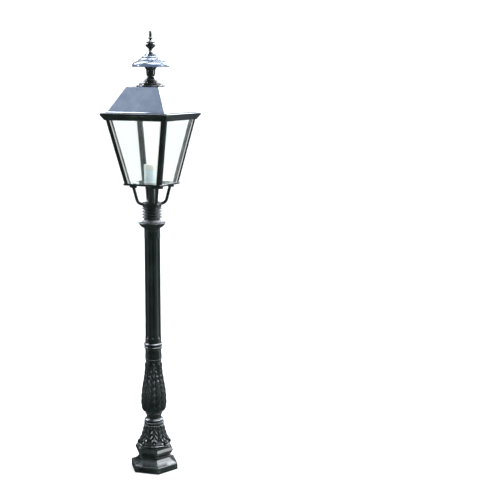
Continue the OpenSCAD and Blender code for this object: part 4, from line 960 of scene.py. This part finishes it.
class LANTERN_OT_small_parts(bpy.types.Operator):
    """Finishes for the frame's own nodes that stay: glass, seals, strips, screws and fittings."""
    bl_idname = "lantern.small_parts"
    bl_label = "Small parts"

    def execute(self, context):
        slots = {part["node"]: part["material_slot"] for part in frame["record"]["subparts"]}
        for name, node in frame["nodes"].items():
            node.data.materials.clear()
            node.data.materials.append(finish(slots[name]))
        return {"FINISHED"}


def studio_floor(context):
    """Pale painted floor that no gloss shows."""
    bm = bmesh.new()
    bmesh.ops.create_circle(bm, cap_ends=True, segments=96, radius=40)
    mesh = bpy.data.meshes.new("floor")
    bm.to_mesh(mesh)
    bm.free()
    floor = bpy.data.objects.new("floor", mesh)
    context.scene.collection.objects.link(floor)
    floor.visible_glossy = False
    made, tree, shader = surface("painted_studio_floor", {"Roughness": 0.75, "IOR": 1.4})
    place = add(tree, "ShaderNodeTexCoord").outputs["Object"]
    cloud = add(tree, "ShaderNodeTexNoise", {"Vector": place, "Scale": per(900), "Detail": 3.0})
    colour = context.scene.lantern_colours.floor
    tint = add(tree, "ShaderNodeMix", {0: cloud.outputs[0], 6: rgba(colour),
                                       7: rgba([c * 0.97 for c in colour])}, data_type="RGBA")
    tree.links.new(tint.outputs[2], shader.inputs["Base Color"])
    mesh.materials.append(made)


def toward(tree, place, direction, outer, inner, least, most):
    """Brightness that changes from outer to inner, as the cosine of the angle to a direction does."""
    cosine = add(tree, "ShaderNodeVectorMath", {0: place, 1: direction}, operation="DOT_PRODUCT")
    return add(tree, "ShaderNodeMapRange", {"Value": cosine.outputs["Value"], "From Min": outer,
                                            "From Max": inner, "To Min": least, "To Max": most})


def surroundings(context):
    """White to the eye; in gloss a dark ground under a sky that is bright overhead and in patches."""
    world = bpy.data.worlds.new("pale_surroundings")
    context.scene.world = world
    world.use_nodes = True
    tree = world.node_tree
    tree.nodes.clear()
    white = add(tree, "ShaderNodeBackground", {0: rgba(linear("#ffffff")), 1: 1.12})
    place = add(tree, "ShaderNodeTexCoord").outputs["Generated"]
    height = add(tree, "ShaderNodeSeparateXYZ", {0: place}).outputs[2]
    rise = add(tree, "ShaderNodeMapRange", {"Value": height, "From Min": 0.2, "From Max": 0.8,
                                            "To Min": 0.16, "To Max": 2.6},
               interpolation_type="SMOOTHSTEP")
    side = toward(tree, place, SKY_SIDE, -0.25, 0.6, 0.3, 1.5)
    sky = add(tree, "ShaderNodeMath", {0: rise.outputs[0], 1: side.outputs[0]}, operation="MULTIPLY")
    for direction, outer, inner, bright in SKY_PATCHES:
        patch = toward(tree, place, direction, outer, inner, 0.0, bright)
        sky = add(tree, "ShaderNodeMath", {0: sky.outputs[0], 1: patch.outputs[0]}, operation="ADD")
    sky = add(tree, "ShaderNodeBackground", {0: rgba(linear("#dde6f3")), 1: sky.outputs[0]})
    path = add(tree, "ShaderNodeLightPath")
    mix = add(tree, "ShaderNodeMixShader", {0: path.outputs["Is Glossy Ray"], 1: white.outputs[0],
                                            2: sky.outputs[0]})
    add(tree, "ShaderNodeOutputWorld", {0: mix.outputs[0]})
    context.scene.view_settings.view_transform = "Standard"


def softbox(name, middle, aim, width, depth, watts, colour):
    """Rectangular studio light that the camera doesn't see."""
    data = bpy.data.lights.new(name, "AREA")
    data.shape, data.size, data.size_y, data.energy = "RECTANGLE", width, depth, watts
    data.color = linear(colour)
    made = bpy.data.objects.new(name, data)
    bpy.context.scene.collection.objects.link(made)
    made.location = middle
    made.rotation_euler = (Vector(aim) - Vector(middle)).to_track_quat("-Z", "Y").to_euler()
    made.visible_camera = False


def photo_camera(context):
    """Camera at the photo's place: panned, pitched down, tilted, then turned round the lantern."""
    data = bpy.data.cameras.new("photo_view")
    data.sensor_width, data.lens = SENSOR_MM, LENS_MM
    data.clip_start, data.clip_end = 0.1, 200
    camera = bpy.data.objects.new("photo_view", data)
    context.scene.collection.objects.link(camera)
    pan, pitch, tilt = (math.radians(a) for a in (CAMERA_PAN, CAMERA_PITCH, CAMERA_TILT))
    ahead = Vector((math.sin(pan), math.cos(pan), 0))
    right = Vector((math.cos(pan), -math.sin(pan), 0))
    up = Vector((0, 0, 1))
    down_ahead = ahead * math.cos(pitch) - up * math.sin(pitch)
    up_ahead = up * math.cos(pitch) + ahead * math.sin(pitch)
    right, up = (right * math.cos(tilt) + up_ahead * math.sin(tilt),
                 up_ahead * math.cos(tilt) - right * math.sin(tilt))
    turn = Matrix.Rotation(math.radians(CAMERA_TURN), 3, "Z")
    axes = Matrix((turn @ right, turn @ up, turn @ -down_ahead)).transposed()
    camera.matrix_world = Matrix.Translation(turn @ Vector(CAMERA_PLACE)) @ axes.to_4x4()
    context.scene.camera = camera


class LANTERN_OT_stage(bpy.types.Operator):
    """Pale floor, pale surroundings, soft lights and the camera."""
    bl_idname = "lantern.stage"
    bl_label = "Stage"

    def execute(self, context):
        studio_floor(context)
        surroundings(context)
        for name, height, direction, distance, width, depth, watts, colour in LIGHTS:
            aim = Vector((0, 0, height))
            softbox(name, aim + distance * Vector(direction), aim, width, depth, watts, colour)
        photo_camera(context)
        return {"FINISHED"}


class LANTERN_PT_panel(bpy.types.Panel):
    """Lists the lantern's sizes, colours and steps."""
    bl_label = "Lantern"
    bl_idname = "LANTERN_PT_panel"
    bl_space_type = "VIEW_3D"
    bl_region_type = "UI"
    bl_category = "Lantern"

    def draw(self, context):
        for group in (context.scene.lantern_sizes, context.scene.lantern_colours):
            for key in group.__annotations__:
                self.layout.prop(group, key)
        for kind in OPERATORS:
            self.layout.operator(kind.bl_idname)


OPERATORS = (
    LANTERN_OT_stage, LANTERN_OT_foot, LANTERN_OT_leaf_bell, LANTERN_OT_waist_ring,
    LANTERN_OT_baluster, LANTERN_OT_rings, LANTERN_OT_shaft, LANTERN_OT_capital, LANTERN_OT_neck,
    LANTERN_OT_arms, LANTERN_OT_frame, LANTERN_OT_finial, LANTERN_OT_lamp, LANTERN_OT_small_parts,
)
CLASSES = (LanternSizes, LanternColours, LANTERN_PT_panel) + OPERATORS


def register():
    """Make the classes and properties known to Blender."""
    for kind in CLASSES:
        bpy.utils.register_class(kind)
    bpy.types.Scene.lantern_sizes = bpy.props.PointerProperty(type=LanternSizes)
    bpy.types.Scene.lantern_colours = bpy.props.PointerProperty(type=LanternColours)


def unregister():
    """Take the classes and properties away again."""
    del bpy.types.Scene.lantern_sizes
    del bpy.types.Scene.lantern_colours
    for kind in reversed(CLASSES):
        bpy.utils.unregister_class(kind)


def main():
    """Build every piece in order."""
    register()
    for kind in OPERATORS:
        group, step_name = kind.bl_idname.split(".")
        getattr(getattr(bpy.ops, group), step_name)()
    bpy.context.view_layer.update()
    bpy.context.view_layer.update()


if __name__ == "__main__":
    main()
